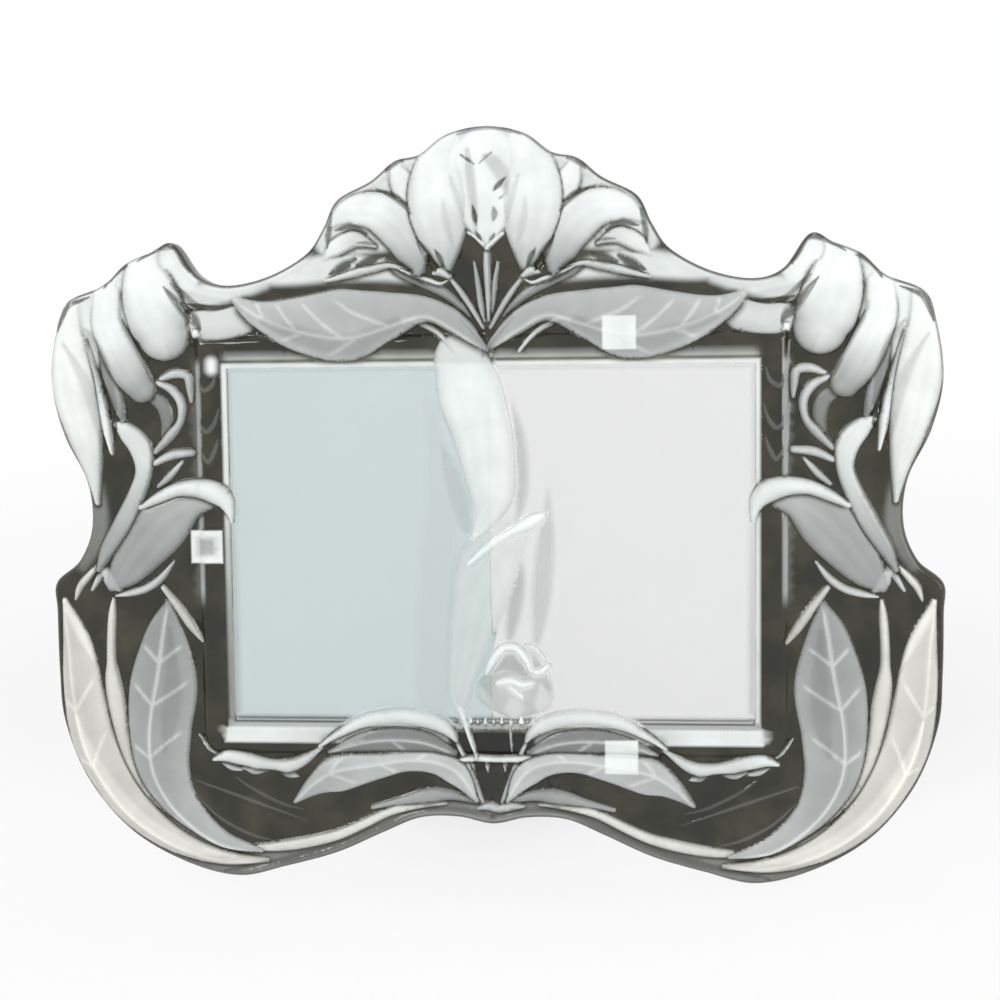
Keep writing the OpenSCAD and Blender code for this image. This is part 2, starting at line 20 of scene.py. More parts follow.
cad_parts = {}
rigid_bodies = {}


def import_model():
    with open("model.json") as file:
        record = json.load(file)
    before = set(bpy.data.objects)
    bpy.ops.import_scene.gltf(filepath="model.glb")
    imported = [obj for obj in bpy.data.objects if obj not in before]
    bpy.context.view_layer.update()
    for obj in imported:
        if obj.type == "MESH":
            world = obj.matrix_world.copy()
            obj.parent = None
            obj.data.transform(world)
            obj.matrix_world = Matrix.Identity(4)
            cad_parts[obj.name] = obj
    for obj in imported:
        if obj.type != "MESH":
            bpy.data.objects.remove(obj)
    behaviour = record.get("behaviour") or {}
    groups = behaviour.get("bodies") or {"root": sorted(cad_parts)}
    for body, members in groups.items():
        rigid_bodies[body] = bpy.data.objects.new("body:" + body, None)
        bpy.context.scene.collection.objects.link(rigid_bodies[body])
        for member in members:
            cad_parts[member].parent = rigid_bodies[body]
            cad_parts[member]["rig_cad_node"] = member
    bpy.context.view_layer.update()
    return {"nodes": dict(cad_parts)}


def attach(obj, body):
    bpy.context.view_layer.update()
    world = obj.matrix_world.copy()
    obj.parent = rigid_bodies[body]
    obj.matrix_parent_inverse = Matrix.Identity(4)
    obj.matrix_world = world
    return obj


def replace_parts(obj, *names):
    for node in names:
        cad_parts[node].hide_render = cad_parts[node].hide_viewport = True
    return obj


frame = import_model()
LOG = logging.getLogger("photo_frame")
Array = np.ndarray
Share = tuple[float, ...]


@dataclass(frozen=True)
class Sizes:
    """The part's sizes in millimetres, and its angles in degrees."""

    glass_w: float = 302.0
    glass_h: float = 255.0
    plate: float = 8.5
    pane: float = 4.25
    back_air: float = 0.05
    foot_grind: float = 0.8
    window_up: float = 114.0
    window_half_w: float = 88.5
    window_half_h: float = 60.4
    border: float = 11.0
    border_rise: float = 1.5
    bevel: float = 2.2
    pocket_half_w: float = 90.0
    pocket_half_h: float = 64.4
    stack: float = 1.6
    board_front: float = -2.2
    board_play: float = 0.5
    cover: float = 0.6
    lean: float = 14.0
    strut_turn: float = 14.0
    pin_up: float = 150.0
    pin_back: float = 4.7
    middle_back: float = 34.53322527490164
    clip_away: float = 6.75
    clip_across: float = 44.0

    @property
    def half_w(self) -> float:
        """Half of the glass's width."""
        return self.glass_w / 2

    @property
    def window_foot(self) -> float:
        """Height of the window's lower edge."""
        return self.window_up - self.window_half_h

    @property
    def window_head(self) -> float:
        """Height of the window's upper edge."""
        return self.window_up + self.window_half_h


SIZES = Sizes()


@dataclass(frozen=True)
class Stance:
    """Where a piece drawn upright stands: turned about X, then moved.

    Args:
        turn: degrees about X, plus leaning the top towards the front.
        back: how far the turned origin lies behind the frame's origin, in mm.
        up: how far it lies above the table, in mm.
    """

    turn: float
    back: float
    up: float

    def place(self, points: Array) -> Array:
        """Turns panel points in mm into points in metres in the frame's place.

        Args:
            points: rows of across, depth and up.

        Returns:
            The same rows, as x, y and z in metres.
        """
        turn = math.radians(self.turn)
        cos, sin = math.cos(turn), math.sin(turn)
        across, depth, up = np.asarray(points, float).T
        placed = [across, depth * cos - up * sin + self.back, depth * sin + up * cos + self.up]
        return np.stack(placed, 1) / 1000


LEANING = Stance(-SIZES.lean, -SIZES.middle_back, 0.0)
PIN = LEANING.place(np.array([[0.0, SIZES.pin_back, SIZES.pin_up]]))[0] * 1000
STRUTTED = Stance(SIZES.strut_turn, float(PIN[1]), float(PIN[2]))


# Materials


def maths(operation: str, swapped: bool = False) -> Callable[["Value", "Term"], "Value"]:
    """Makes an operator of Value.

    Args:
        operation: what the Math node does.
        swapped: whether the other term comes first.

    Returns:
        The method, which adds the node and returns its output.
    """

    def method(value: "Value", other: "Term") -> "Value":
        """Adds the node."""
        first, second = (other, value) if swapped else (value, other)
        return value.recipe.node("ShaderNodeMath", {"operation": operation}, {0: first, 1: second})

    return method


class Value:
    """A socket of a material. Arithmetic on it adds Math nodes."""

    def __init__(self, recipe: "Recipe", socket: bpy.types.NodeSocket) -> None:
        self.recipe = recipe
        self.socket = socket

    __add__ = __radd__ = maths("ADD")
    __sub__, __rsub__ = maths("SUBTRACT"), maths("SUBTRACT", swapped=True)
    __mul__ = __rmul__ = maths("MULTIPLY")
    __truediv__ = maths("DIVIDE")
    at_most, at_least = maths("MINIMUM"), maths("MAXIMUM")

    def clipped(self) -> "Value":
        """This value, kept from 0 to 1."""
        return self.at_least(0.0).at_most(1.0)


Term = Value | float
Colour = tuple[float, float, float, float]


class Recipe:
    """The node tree of one material."""

    def __init__(self, name: str, tree: bpy.types.NodeTree | None = None) -> None:
        self.material = None if tree else bpy.data.materials.new(name)
        if self.material:
            self.material.use_nodes = True
        self.tree = tree or self.material.node_tree
        self.tree.nodes.clear()

    def node(
        self,
        kind: str,
        settings: Mapping[str, object] | None = None,
        inputs: Mapping[str | int, object] | None = None,
        output: str | int = 0,
    ) -> Value:
        """Adds any node.

        Args:
            kind: the node's type.
            settings: its properties, which are set first.
            inputs: values or Value links, by socket name or number.
            output: the output socket that is returned.

        Returns:
            The chosen output.
        """
        made = self.tree.nodes.new(kind)
        for key, value in (settings or {}).items():
            setattr(made, key, value)
        for key, value in (inputs or {}).items():
            if isinstance(value, Value):
                self.tree.links.new(value.socket, made.inputs[key])
            else:
                made.inputs[key].default_value = value
        outputs = made.outputs
        return Value(self, outputs[output] if len(outputs) else made.inputs[0])

    def attribute(self, name: str) -> Value:
        """A number kept on the mesh's points."""
        return self.node("ShaderNodeAttribute", {"attribute_name": name}, output="Fac")

    def noise(self, scale: float, detail: float = 2.0, stretch: Share = (1, 1, 1)) -> Value:
        """Noise from 0 to 1 over the object's own coordinates in metres."""
        where = self.node("ShaderNodeTexCoord", output="Object")
        spread = self.node("ShaderNodeMapping", inputs={"Vector": where, "Scale": stretch})
        inputs = {"Vector": spread, "Scale": scale, "Detail": detail}
        return self.node("ShaderNodeTexNoise", inputs=inputs, output="Fac")

    def blend(self, share: Term, first: Value | Colour, second: Value | Colour) -> Value:
        """A colour that lies between two colours."""
        inputs = {0: share, 6: first, 7: second}
        return self.node("ShaderNodeMix", {"data_type": "RGBA"}, inputs, output=2)

    def bump(self, height: Value, depth: float, strength: float = 1.0) -> Value:
        """A normal that follows a height from 0 to 1 over a depth in metres."""
        inputs = {"Height": height, "Distance": depth, "Strength": strength}
        return self.node("ShaderNodeBump", inputs=inputs)

    def surface(self, **inputs: object) -> Value:
        """A Principled shader. Underscores in the names stand for spaces."""
        named = {key.replace("_", " "): value for key, value in inputs.items()}
        return self.node("ShaderNodeBsdfPrincipled", inputs=named)

    def mix(self, share: Term, first: Value, second: Value) -> Value:
        """A shader that lies between two shaders."""
        return self.node("ShaderNodeMixShader", inputs={0: share, 1: first, 2: second})

    def done(self, shader: Value) -> bpy.types.Material:
        """Joins the shader to the output and returns the material."""
        self.node("ShaderNodeOutputMaterial", inputs={"Surface": shader})
        return self.material


def grey(level: float, warmth: float = 0.0) -> Colour:
    """A grey that leans to yellow with warmth."""
    return (level * (1 + warmth), level, level * (1 - 1.6 * warmth), 1.0)


@dataclass(frozen=True)
class GlassFinish:
    """Clear glass with a dark smoky tint, frosted where the mesh says so. The dark tint is painted
    darkness that stands in for dark surroundings seen through the clear glass.
    """

    clear: Colour = (0.97, 0.98, 0.98, 1.0)
    painted_dark_smoke: Colour = (0.011, 0.0115, 0.004, 1.0)
    painted_pale_smoke: Colour = (0.062, 0.058, 0.032, 1.0)
    cool: Colour = (0.922, 0.97, 0.952, 1.0)
    warm: Colour = (0.97, 0.95, 0.87, 1.0)
    ior: float = 1.52

    def make(self) -> bpy.types.Material:
        """Builds the material."""
        r = Recipe("pressed_glass")
        frost, tone, tint = r.attribute("frost"), r.attribute("tone"), r.attribute("tint")
        wave = r.noise(42.0, 1.0)
        # Painted darkness of dark surroundings seen through the glass, with paler patches from
        # noise
        depth = ((r.noise(75.0, 3.0) - 0.42) * 3.0).clipped()
        painted_dark_smoke = r.blend(depth, self.painted_dark_smoke, self.painted_pale_smoke)
        clear = r.surface(
            Base_Color=r.blend(tint, self.clear, painted_dark_smoke), Roughness=0.015, IOR=self.ior,
            Transmission_Weight=1.0, Normal=r.bump(wave * tint, 0.0022, 0.55),
        )
        grain, cloud = r.noise(2600.0, 2.0), r.noise(95.0, 3.0)
        white = r.blend(r.attribute("warm"), self.cool, self.warm)
        # The tone attribute is the frosting's brightness, with painted light and shade in it
        frosted = r.surface(
            Base_Color=r.blend(tone * (0.89 + 0.22 * cloud), grey(0.02), white), IOR=self.ior,
            Roughness=0.36 + 0.2 * cloud, Specular_IOR_Level=0.55,
            Normal=r.bump(grain, 0.00006, 0.5),
        )
        solid = r.mix((frost * (0.92 + 0.16 * cloud)).at_most(1.0), clear, frosted)
        shadow = r.node("ShaderNodeLightPath", output="Is Shadow Ray")
        rays = shadow.at_least(r.node("ShaderNodeLightPath", output="Is Diffuse Ray"))
        through = r.node("ShaderNodeBsdfTransparent", inputs={"Color": (0.93, 0.94, 0.93, 1.0)})
        return r.done(r.mix(rays, solid, through))


@dataclass(frozen=True)
class PaperFinish:
    """Blank photo paper or lining paper."""

    name: str
    colour: Colour
    far: Colour
    gloss: float = 0.45

    def make(self) -> bpy.types.Material:
        """Builds the material."""
        r = Recipe(self.name)
        fibre, cloud = r.noise(1500.0, 4.0), r.noise(14.0, 2.0)
        shade = r.blend(cloud, self.colour, self.far)
        return r.done(r.surface(
            Base_Color=shade, Roughness=self.gloss + 0.12 * fibre, Normal=r.bump(fibre, 0.00003),
        ))


@dataclass(frozen=True)
class BoardFinish:
    """Grey card or brown fibre board, with flecks."""

    name: str
    colour: Colour
    fleck: Colour

    def make(self) -> bpy.types.Material:
        """Builds the material."""
        r = Recipe(self.name)
        fleck = ((r.noise(1100.0, 5.0) - 0.52) * 5.0).clipped()
        fibre = r.noise(420.0, 3.0, (1.0, 1.0, 6.0))
        shade = r.blend(fleck * (0.4 + 0.5 * fibre), self.colour, self.fleck)
        return r.done(r.surface(
            Base_Color=shade, Roughness=0.78 + 0.15 * fibre, Normal=r.bump(fibre + fleck, 0.00008),
        ))


@dataclass(frozen=True)
class VelvetFinish:
    """Short-pile velvet, brushed downwards."""

    name: str = "black_velvet"
    base: Colour = (0.006, 0.006, 0.007, 1.0)
    lifted: Colour = (0.03, 0.03, 0.034, 1.0)

    def make(self) -> bpy.types.Material:
        """Builds the material."""
        r = Recipe(self.name)
        pile, brushed = r.noise(3800.0, 3.0, (1.0, 1.0, 0.45)), r.noise(38.0, 4.0, (1.6, 1.6, 0.5))
        marks = ((brushed - 0.42) * 2.6).clipped()
        shade = r.blend(marks * (0.35 + 0.65 * pile), self.base, self.lifted)
        return r.done(r.surface(
            Base_Color=shade, Roughness=0.95, Specular_IOR_Level=0.15, Sheen_Weight=0.55,
            Sheen_Roughness=0.4, Sheen_Tint=(0.8, 0.8, 0.85, 1.0),
            Normal=r.bump(pile + 0.8 * brushed, 0.00025),
        ))


@dataclass(frozen=True)
class SteelFinish:
    """Plated steel, brushed along one way, with rubbed patches."""

    name: str
    colour: Colour
    roughness: float
    grain: Share = (1.0, 1.0, 1.0)

    def make(self) -> bpy.types.Material:
        """Builds the material."""
        r = Recipe(self.name)
        lines, rubbed = r.noise(900.0, 3.0, self.grain), r.noise(160.0, 4.0)
        shade = r.blend(rubbed, self.colour, tuple(c * 0.72 for c in self.colour[:3]) + (1.0,))
        return r.done(r.surface(
            Base_Color=shade, Metallic=1.0, Roughness=self.roughness + 0.18 * rubbed + 0.08 * lines,
            Normal=r.bump(lines, 0.00003, 0.6),
        ))


@dataclass(frozen=True)
class FoamFinish:
    """White adhesive foam with fine pores, painted darker as shade inside them."""

    name: str = "pad_foam"
    colour: Colour = (0.8, 0.8, 0.78, 1.0)
    pore_shade: Colour = (0.5, 0.5, 0.48, 1.0)

    def make(self) -> bpy.types.Material:
        """Builds the material."""
        r = Recipe(self.name)
        where = r.node("ShaderNodeTexCoord", output="Object")
        pores = r.node("ShaderNodeTexVoronoi", inputs={"Vector": where, "Scale": 2200.0})
        shade = r.blend((pores * 1.4).at_most(1.0), self.pore_shade, self.colour)
        return r.done(r.surface(Base_Color=shade, Roughness=0.85, Normal=r.bump(pores, 0.0001)))


class Finish(Enum):
    """The finishes of the part, by the record's material slot."""

    PRESSED_GLASS = GlassFinish()
    PRINT_LEFT = PaperFinish("print_left", (0.6, 0.69, 0.7, 1.0), (0.66, 0.735, 0.735, 1.0), 0.35)
    PRINT_RIGHT = PaperFinish(
        "print_right", (0.84, 0.825, 0.84, 1.0), (0.88, 0.85, 0.87, 1.0), 0.35)
    GREY_CARD = BoardFinish("grey_card", (0.56, 0.53, 0.46, 1.0), (0.32, 0.3, 0.27, 1.0))
    LINING_PAPER = PaperFinish("lining_paper", grey(0.02), grey(0.03), 0.7)
    BROWN_BOARD = BoardFinish("brown_board", (0.17, 0.11, 0.06, 1.0), (0.34, 0.25, 0.15, 1.0))
    BLACK_VELVET = VelvetFinish()
    HINGE_STEEL = SteelFinish("hinge_steel", (0.56, 0.56, 0.57, 1.0), 0.26, (0.1, 1.0, 1.0))
    PIN_STEEL = SteelFinish("pin_steel", (0.6, 0.6, 0.61, 1.0), 0.22)
    RIVET_STEEL = SteelFinish("rivet_steel", (0.64, 0.64, 0.65, 1.0), 0.16)
    PAD_FOAM = FoamFinish()
    CLIP_STEEL = SteelFinish("clip_steel", (0.68, 0.69, 0.7, 1.0), 0.2, (1.0, 1.0, 0.12))


class Wardrobe:
    """Makes each finish once and dresses objects with it."""

    def __init__(self) -> None:
        self.made: dict[Finish, bpy.types.Material] = {}

    def dress(self, piece: bpy.types.Object, finish: Finish) -> bpy.types.Object:
        """Gives an object a finish and logs it.

        Args:
            piece: the object.
            finish: its finish.

        Returns:
            The object.
        """
        if finish not in self.made:
            self.made[finish] = finish.value.make()
        LOG.info("%s in %s", piece.name, finish.name.lower())
        piece.data.materials.clear()
        piece.data.materials.append(self.made[finish])
        return piece


# Shapes


def spline(points: Array, count: int) -> Array:
    """Points on a smooth curve through the given ones, at even steps of its own measure.

    Args:
        points: rows to pass through.
        count: how many steps to take.

    Returns:
        count + 1 rows.
    """
    points = np.asarray(points, float)
    last = len(points) - 1
    s = np.linspace(0, last, count + 1)
    i = np.minimum(s.astype(int), last - 1)
    f = (s - i)[:, None]
    a, b = points[np.maximum(i - 1, 0)], points[i]
    c, d = points[i + 1], points[np.minimum(i + 2, last)]
    return (2 * b + (c - a) * f + (2 * a - 5 * b + 4 * c - d) * f**2
            + (3 * b - a - 3 * c + d) * f**3) / 2


def even(line: Array, step: float) -> Array:
    """Sets a line's points again at even distances.

    Args:
        line: rows of across, up and any further columns.
        step: the distance in mm.

    Returns:
        The new rows.
    """
    lengths = np.concatenate([[0], np.cumsum(np.linalg.norm(np.diff(line[:, :2], axis=0), axis=1))])
    count = max(int(round(lengths[-1] / step)), 2)
    wanted = np.linspace(0, lengths[-1], count + 1)
    return np.stack([np.interp(wanted, lengths, column) for column in line.T], 1)


def smooth(x: Array) -> Array:
    """0 below 0, 1 above 1, and a soft step between."""
    x = np.clip(x, 0, 1)
    return x * x * (3 - 2 * x)


def ease(x: Array, low: float, high: float) -> Array:
    """A soft step from low to high."""
    return smooth((x - low) / (high - low))


def normals(line: Array) -> Array:
    """Unit normals on the left of a line."""
    along = np.gradient(line[:, :2], axis=0)
    across = np.stack([-along[:, 1], along[:, 0]], 1)
    return across / np.linalg.norm(across, axis=1)[:, None]


def put(name: str, data: bpy.types.ID) -> bpy.types.Object:
    """Adds an object to the scene."""
    made = bpy.data.objects.new(name, data)
    bpy.context.scene.collection.objects.link(made)
    return made


def piece_from(
    name: str, points: Array, faces: Iterable[Sequence[int]], finish: Finish, wardrobe: Wardrobe,
    sharp: float | None = 35.0,
) -> bpy.types.Object:
    """Makes a mesh object.

    Args:
        name: the piece's name.
        points: rows of x, y and z in metres.
        faces: corner numbers of each face.
        finish: its finish.
        wardrobe: what dresses it.
        sharp: the angle in degrees above which an edge stays sharp, or None to smooth them all.

    Returns:
        The object, in the frame's place.
    """
    mesh = bpy.data.meshes.new(name)
    mesh.from_pydata(np.asarray(points).tolist(), [], list(faces))
    mesh.validate()
    mesh.shade_smooth()
    if sharp is not None:
        mesh.set_sharp_from_angle(angle=math.radians(sharp))
    return wardrobe.dress(put(name, mesh), finish)


def loft(rings: Sequence[Array]) -> tuple[Array, list[tuple[int, ...]]]:
    """Joins rings of as many points each into one closed shell, with both ends covered.

    Args:
        rings: arrays of the same length, each with rows of x, y and z.

    Returns:
        The points and the faces.
    """
    count = len(rings[0])
    faces: list[tuple[int, ...]] = [tuple(range(count - 1, -1, -1))]
    for i in range(len(rings) - 1):
        low, high = i * count, (i + 1) * count
        for j in range(count):
            k = (j + 1) % count
            faces.append((low + j, low + k, high + k, high + j))
    last = (len(rings) - 1) * count
    faces.append(tuple(range(last, last + count)))
    return np.concatenate(rings), faces


def rounded(corners: Sequence[Share], radius: float, steps: int = 5) -> Array:
    """A closed outline with round corners.

    Args:
        corners: the sharp corners in order, as across and up.
        radius: the corners' radius.
        steps: facets of each corner.

    Returns:
        Rows of across and up.
    """
    pts, out = np.asarray(corners, float), []
    for i, corner in enumerate(pts):
        before, after = pts[i - 1] - corner, pts[(i + 1) % len(pts)] - corner
        before, after = before / np.linalg.norm(before), after / np.linalg.norm(after)
        half = math.acos(float(np.clip(before @ after, -1, 1))) / 2
        reach = radius / math.tan(half)
        inward = (before + after) / np.linalg.norm(before + after)
        centre = corner + inward * radius / math.sin(half)
        first, last = corner + before * reach - centre, corner + after * reach - centre
        for s in np.linspace(0, 1, steps + 1):
            way = first * (1 - s) + last * s
            out.append(centre + way / np.linalg.norm(way) * radius)
    return np.array(out)


def box_corners(half_w: float, low: float, high: float, middle: float = 0.0) -> list[Share]:
    """The corners of an upright rectangle."""
    return [(middle - half_w, low), (middle + half_w, low), (middle + half_w, high),
            (middle - half_w, high)]


def ring(outline: Array, depth: float) -> Array:
    """An outline at a depth, as rows of across, depth and up."""
    return np.stack([outline[:, 0], np.full(len(outline), depth), outline[:, 1]], 1)


def turned(profile: Sequence[Share], place: Share, facets: int = 28) -> list[Array]:
    """Rings of a round piece along the depth, from its profile.

    Args:
        profile: radius and depth of each ring.
        place: across and up of its axis.
        facets: points of each ring.

    Returns:
        The rings.
    """
    angles = np.linspace(0, 2 * math.pi, facets, endpoint=False)
    circle = np.stack([np.cos(angles), np.sin(angles)], 1)
    return [ring(circle * radius + np.array(place), depth) for radius, depth in profile]


def band(x: Array, limits: Share) -> Array:
    """A soft band.

    Args:
        x: where the points lie.
        limits: where it starts, is full, begins to fade and ends.

    Returns:
        Its strength at each point, from 0 to 1.
    """
    start, full, fade, end = limits
    return ease(x, start, full) * (1 - ease(x, fade, end))


def streak(x: Array, place: float, width: float | Array) -> Array:
    """A thin line with soft sides."""
    return np.exp(-(((x - place) / width) ** 2))


# Relief of the glass


class Look(Enum):
    """How an ornament's surface is formed."""

    PETAL = "cupped, with soft folds along it"
    LEAF = "two slopes and a midrib with veins"
    STEM = "a round rod"
    BUD = "a soft dome"
    # The grey of a fold is painted shade
    CUT = "a clear groove or a grey fold"
    WASH = "low frosted ground with soft edges"


@dataclass(frozen=True)
class Blade:
    """One ornament of the relief.

    Args:
        look: how its surface is formed.
        spine: its points, each with across in thousandths of half the glass's width, up in
            thousandths of its height, and half width in ten-thousandths of half its width.
        rise: its height above the plate in mm.
        tone: brightness of its frosting at the first and the last end, partly its own whiteness and
        partly painted light and shade.
        frost: how dense the frosting is.
        ridge: where across it is highest, from -1 to 1, at the first and the last end.
        veins: for each vein, its root along the spine, its side, and its way along the spine.
        warm: how far the frosting leans to cream.
        alone: whether it stands on one side only.
        rib: brightness that the midrib and the veins add.
        lined: whether a clear line runs round it.
        lip: how wide that line is, in mm.
        vein_angle: the angle between the veins and the spine.

    A cut takes its frost share of the frosting and its first tone share of the brightness as
    painted shade, or adds that share as a painted highlight where it is minus.
    """

    look: Look
    spine: tuple[tuple[int, int, int], ...]
    rise: float
    tone: tuple[float, float]
    frost: float = 0.95
    ridge: tuple[float, float] = (0.0, 0.0)
    veins: tuple[tuple[float, int, int], ...] = ()
    warm: float = 0.0
    alone: bool = False
    rib: float = 0.3
    lined: bool = True
    lip: float = 0.4
    vein_angle: float = math.radians(38)
    line: Array = field(init=False, repr=False, compare=False)

    # Mesh: parts of the spine, least half width and how far out a point can still be touched
    steps = 64
    least = 0.25
    margin = 1.4
    # Rows of mesh points: the row beside the edge, those beside a midrib, the least half width of
    # a row, and the share of frosting under which a cut needs none
    beside = 0.42
    rib_side = 0.75
    thinnest = 0.12
    faint_cut = 0.2
    # Sides: width of the rising wall, its height as a share, and how the rise follows the width
    wall = 0.55
    foot = 0.4
    stem_foot = 0.1
    taper = 0.35
    # Clear line: its depth, how much wider it is below as a painted shadow under the ornament, how
    # far in it goes and how clear it is, between which shares of the spine it starts and ends, what
    # the end takes from it, and where a petal's line starts
    groove = 0.3
    shadow = 0.5
    line_in = 0.2
    line_clear = 0.88
    line_start = (-0.02, 0.06)
    line_end = (0.94, 1.02)
    end_loss = 0.6
    petal_start = (0.05, 0.4)
    # Frost: the bare lip at the edge and the width over which it sets in, in mm and as a share of
    # the half width
    bare_lip = (0.22, 0.18)
    sets_in = (0.6, 0.45)
    # Frost that a rib adds where it is over the least, and how a petal's end loses it at the sides
    rib_frost = 0.25
    rib_least = 0.1
    petal_bare = 0.45
    petal_end = (0.55, 1.0)
    # Ribs: rise and width of the midrib, width and strength of a vein, and where veins end
    rib_rise = 0.3
    rib_width = 0.55
    vein_width = 0.5
    vein_share = 0.85
    vein_end = (0.62, 0.86)
    # Leaf: how far and how sharply it falls to its edge, and how the edge catches light
    slope = 0.75
    slope_power = 1.4
    leaf_shine = (0.9, 0.16)
    # Petal: waves across it, their turn along it, their rise and painted shine, and the painted
    # shade at its edge
    waves = 3.4
    wave_turn = 1.2
    wave_rise = 0.025
    wave_shine = 0.02
    petal_edge_shade = 0.3
    # Width over which a soft petal, a bud and a wash fade at the edge, and how much painted shade
    # darkens a rod and a bud at their sides
    petal_fade = 2.5
    bud_fade = 2.6
    wash_fade = 3.0
    round_side_shade = 0.25

    def __post_init__(self) -> None:
        """Works out the spine in millimetres."""
        scale = np.array([SIZES.half_w, SIZES.glass_h, SIZES.half_w])
        line = spline(np.array(self.spine) / (1000, 1000, 10000) * scale, self.steps)
        line[:, 2] = np.maximum(line[:, 2], self.least)
        object.__setattr__(self, "line", line)

    @property
    def length(self) -> float:
        """The spine's length."""
        return float(np.linalg.norm(np.diff(self.line[:, :2], axis=0), axis=1).sum())

    @property
    def sides(self) -> tuple[int, ...]:
        """1 for the side on which it is drawn, and -1 for its mirror image."""
        return (1,) if self.alone else (1, -1)

    @property
    def soft(self) -> bool:
        """Whether it blends into the ground without a clear line round it."""
        return self.look is Look.WASH or not self.lined

    def near(self, at: Array, side: int) -> Array:
        """Numbers of the points in the box round it.

        Args:
            at: rows of across and up.
            side: 1 as drawn, -1 mirrored.

        Returns:
            The rows that lie in the box.
        """
        line = self.line[:, :2] * (side, 1)
        wide = self.line[:, 2].max() + self.margin
        return np.nonzero(((at > line.min(0) - wide) & (at < line.max(0) + wide)).all(1))[0]

    def locate(self, at: Array, side: int) -> tuple[Array, Array, Array]:
        """Finds where points lie on the ornament.

        Args:
            at: rows of across and up.
            side: 1 as drawn, -1 mirrored.

        Returns:
            Share along the spine, distance across it and half width there.
        """
        line = self.line * np.array([side, 1, 1])
        start, step = line[:-1, :2], np.diff(line[:, :2], axis=0)
        off = at[:, None, :] - start[None]
        s = np.clip((off * step).sum(2) / (step**2).sum(1), 0, 1)
        gap = off - s[:, :, None] * step
        nearest = (gap**2).sum(2).argmin(1)
        rows = np.arange(len(at))
        s, gap, step = s[rows, nearest], gap[rows, nearest], step[nearest]
        turn = step[:, 0] * gap[:, 1] - step[:, 1] * gap[:, 0]
        x = np.linalg.norm(gap, axis=1) * np.sign(turn) * side
        reach = line[nearest, 2] * (1 - s) + line[nearest + 1, 2] * s
        return (nearest + s) / self.steps, x, reach

    def strength(self, t: Array) -> Array:
        """How clear the line round it is along the spine: a petal merges into the ground above.

        Args:
            t: share along the spine.

        Returns:
            The clearness, from 0 to 1.
        """
        if self.look is Look.PETAL and not self.alone:
            return ease(t, *self.petal_start)
        return ease(t, *self.line_start) * (1 - self.end_loss * ease(t, *self.line_end))

    def under(self, at: Array, side: int) -> Array:
        """How far points lie below the ornament rather than above or beside it, from -1 to 1.

        Args:
            at: rows of across and up.
            side: 1 as drawn, -1 mirrored.

        Returns:
            The share at each point.
        """
        gap = at[:, None, :] - (self.line[:, :2] * (side, 1))[None]
        off = gap[np.arange(len(at)), (gap**2).sum(2).argmin(1)]
        return -off[:, 1] / np.maximum(np.linalg.norm(off, axis=1), 1e-6)

    def middle(self, t: Array) -> Array:
        """Where across the ornament is highest, as a share of its half width."""
        return self.ridge[0] * (1 - t) + self.ridge[1] * t

    def ribs(self, t: Array, x: Array, reach: Array) -> Array:
        """How much of the midrib or a vein lies at each point, from 0 to 1.

        Args:
            t: share along the spine.
            x: distance across it.
            reach: half width there.

        Returns:
            The share of a rib at each point.
        """
        if not self.veins:
            return np.zeros(len(t))
        middle = self.middle(t) * reach
        x = x - middle
        found = streak(x, 0.0, self.rib_width) * band(t, (0.0, 0.08, 0.92, 1.0))
        for root, side, way in self.veins:
            along = (t - root) * self.length * way
            reached = np.abs(x) * (np.sign(x) == side)
            gap = np.abs(along * math.sin(self.vein_angle) - reached * math.cos(self.vein_angle))
            room = np.abs(side * reach - middle)
            inside = (reached > 0) * (1 - ease(reached / room, *self.vein_end))
            vein = self.vein_share * streak(gap, 0.0, self.vein_width)
            found = np.maximum(found, vein * inside)
        return found

    def shape(self, t: Array, x: Array, reach: Array) -> tuple[Array, Array, Array]:
        """The surface at points inside the ornament.

        Args:
            t: share along the spine.
            x: distance across it.
            reach: half width there.

        Returns:
            Height in mm, density of the frosting and its brightness.
        """
        a, ridge = np.clip(x / reach, -1, 1), self.middle(t)
        b = np.abs(np.where(a > ridge, (a - ridge) / (1 - ridge), (a - ridge) / (1 + ridge)))
        taper = (reach / self.line[:, 2].max()) ** self.taper
        edge = reach - np.abs(x)
        wall = smooth(edge / np.minimum(self.wall, 0.5 * reach))
        # Painted light and shade run from the first tone to the last; a petal keeps its first tone
        # longer
        fall = ease(t, 0.25, 1.0) if self.look is Look.PETAL else t
        tone = self.tone[0] * (1 - fall) + self.tone[1] * fall
        rib = self.ribs(t, x, reach)
        dome, foot = np.sqrt(np.clip(1 - b**2, 0, 1)), self.foot
        bare, width = (np.minimum(most, share * reach)
                       for most, share in (self.bare_lip, self.sets_in))
        frost = self.frost * smooth((edge - 0.6 * bare) / width)
        if self.look is Look.LEAF:
            dome = 1 - self.slope * b**self.slope_power
            middle, edge_shine = self.leaf_shine
            tone = tone * (middle + edge_shine * b**2) + self.rib * rib
            frost = frost + self.rib_frost * rib * (frost > self.rib_least)
        elif self.look is Look.PETAL:
            waves = np.cos(self.waves * math.pi * a + self.wave_turn * t) * np.sin(math.pi * t)
            dome = dome**0.9 + self.wave_rise * waves
            # Painted shade darkens the petal's edge, and the waves add a painted shine
            tone = tone * (1.0 - self.petal_edge_shade * b**4) + self.wave_shine * waves
            frost = frost * (1 - self.petal_bare * ease(t, *self.petal_end) * b**2)
            if not self.lined:
                frost = self.frost * ease(edge, 0.0, self.petal_fade)
        elif self.look is Look.STEM:
            foot = self.stem_foot
            # Painted shade darkens a rod towards its sides
            tone = tone * (1 - self.round_side_shade * b**2)
        elif self.look is Look.BUD:
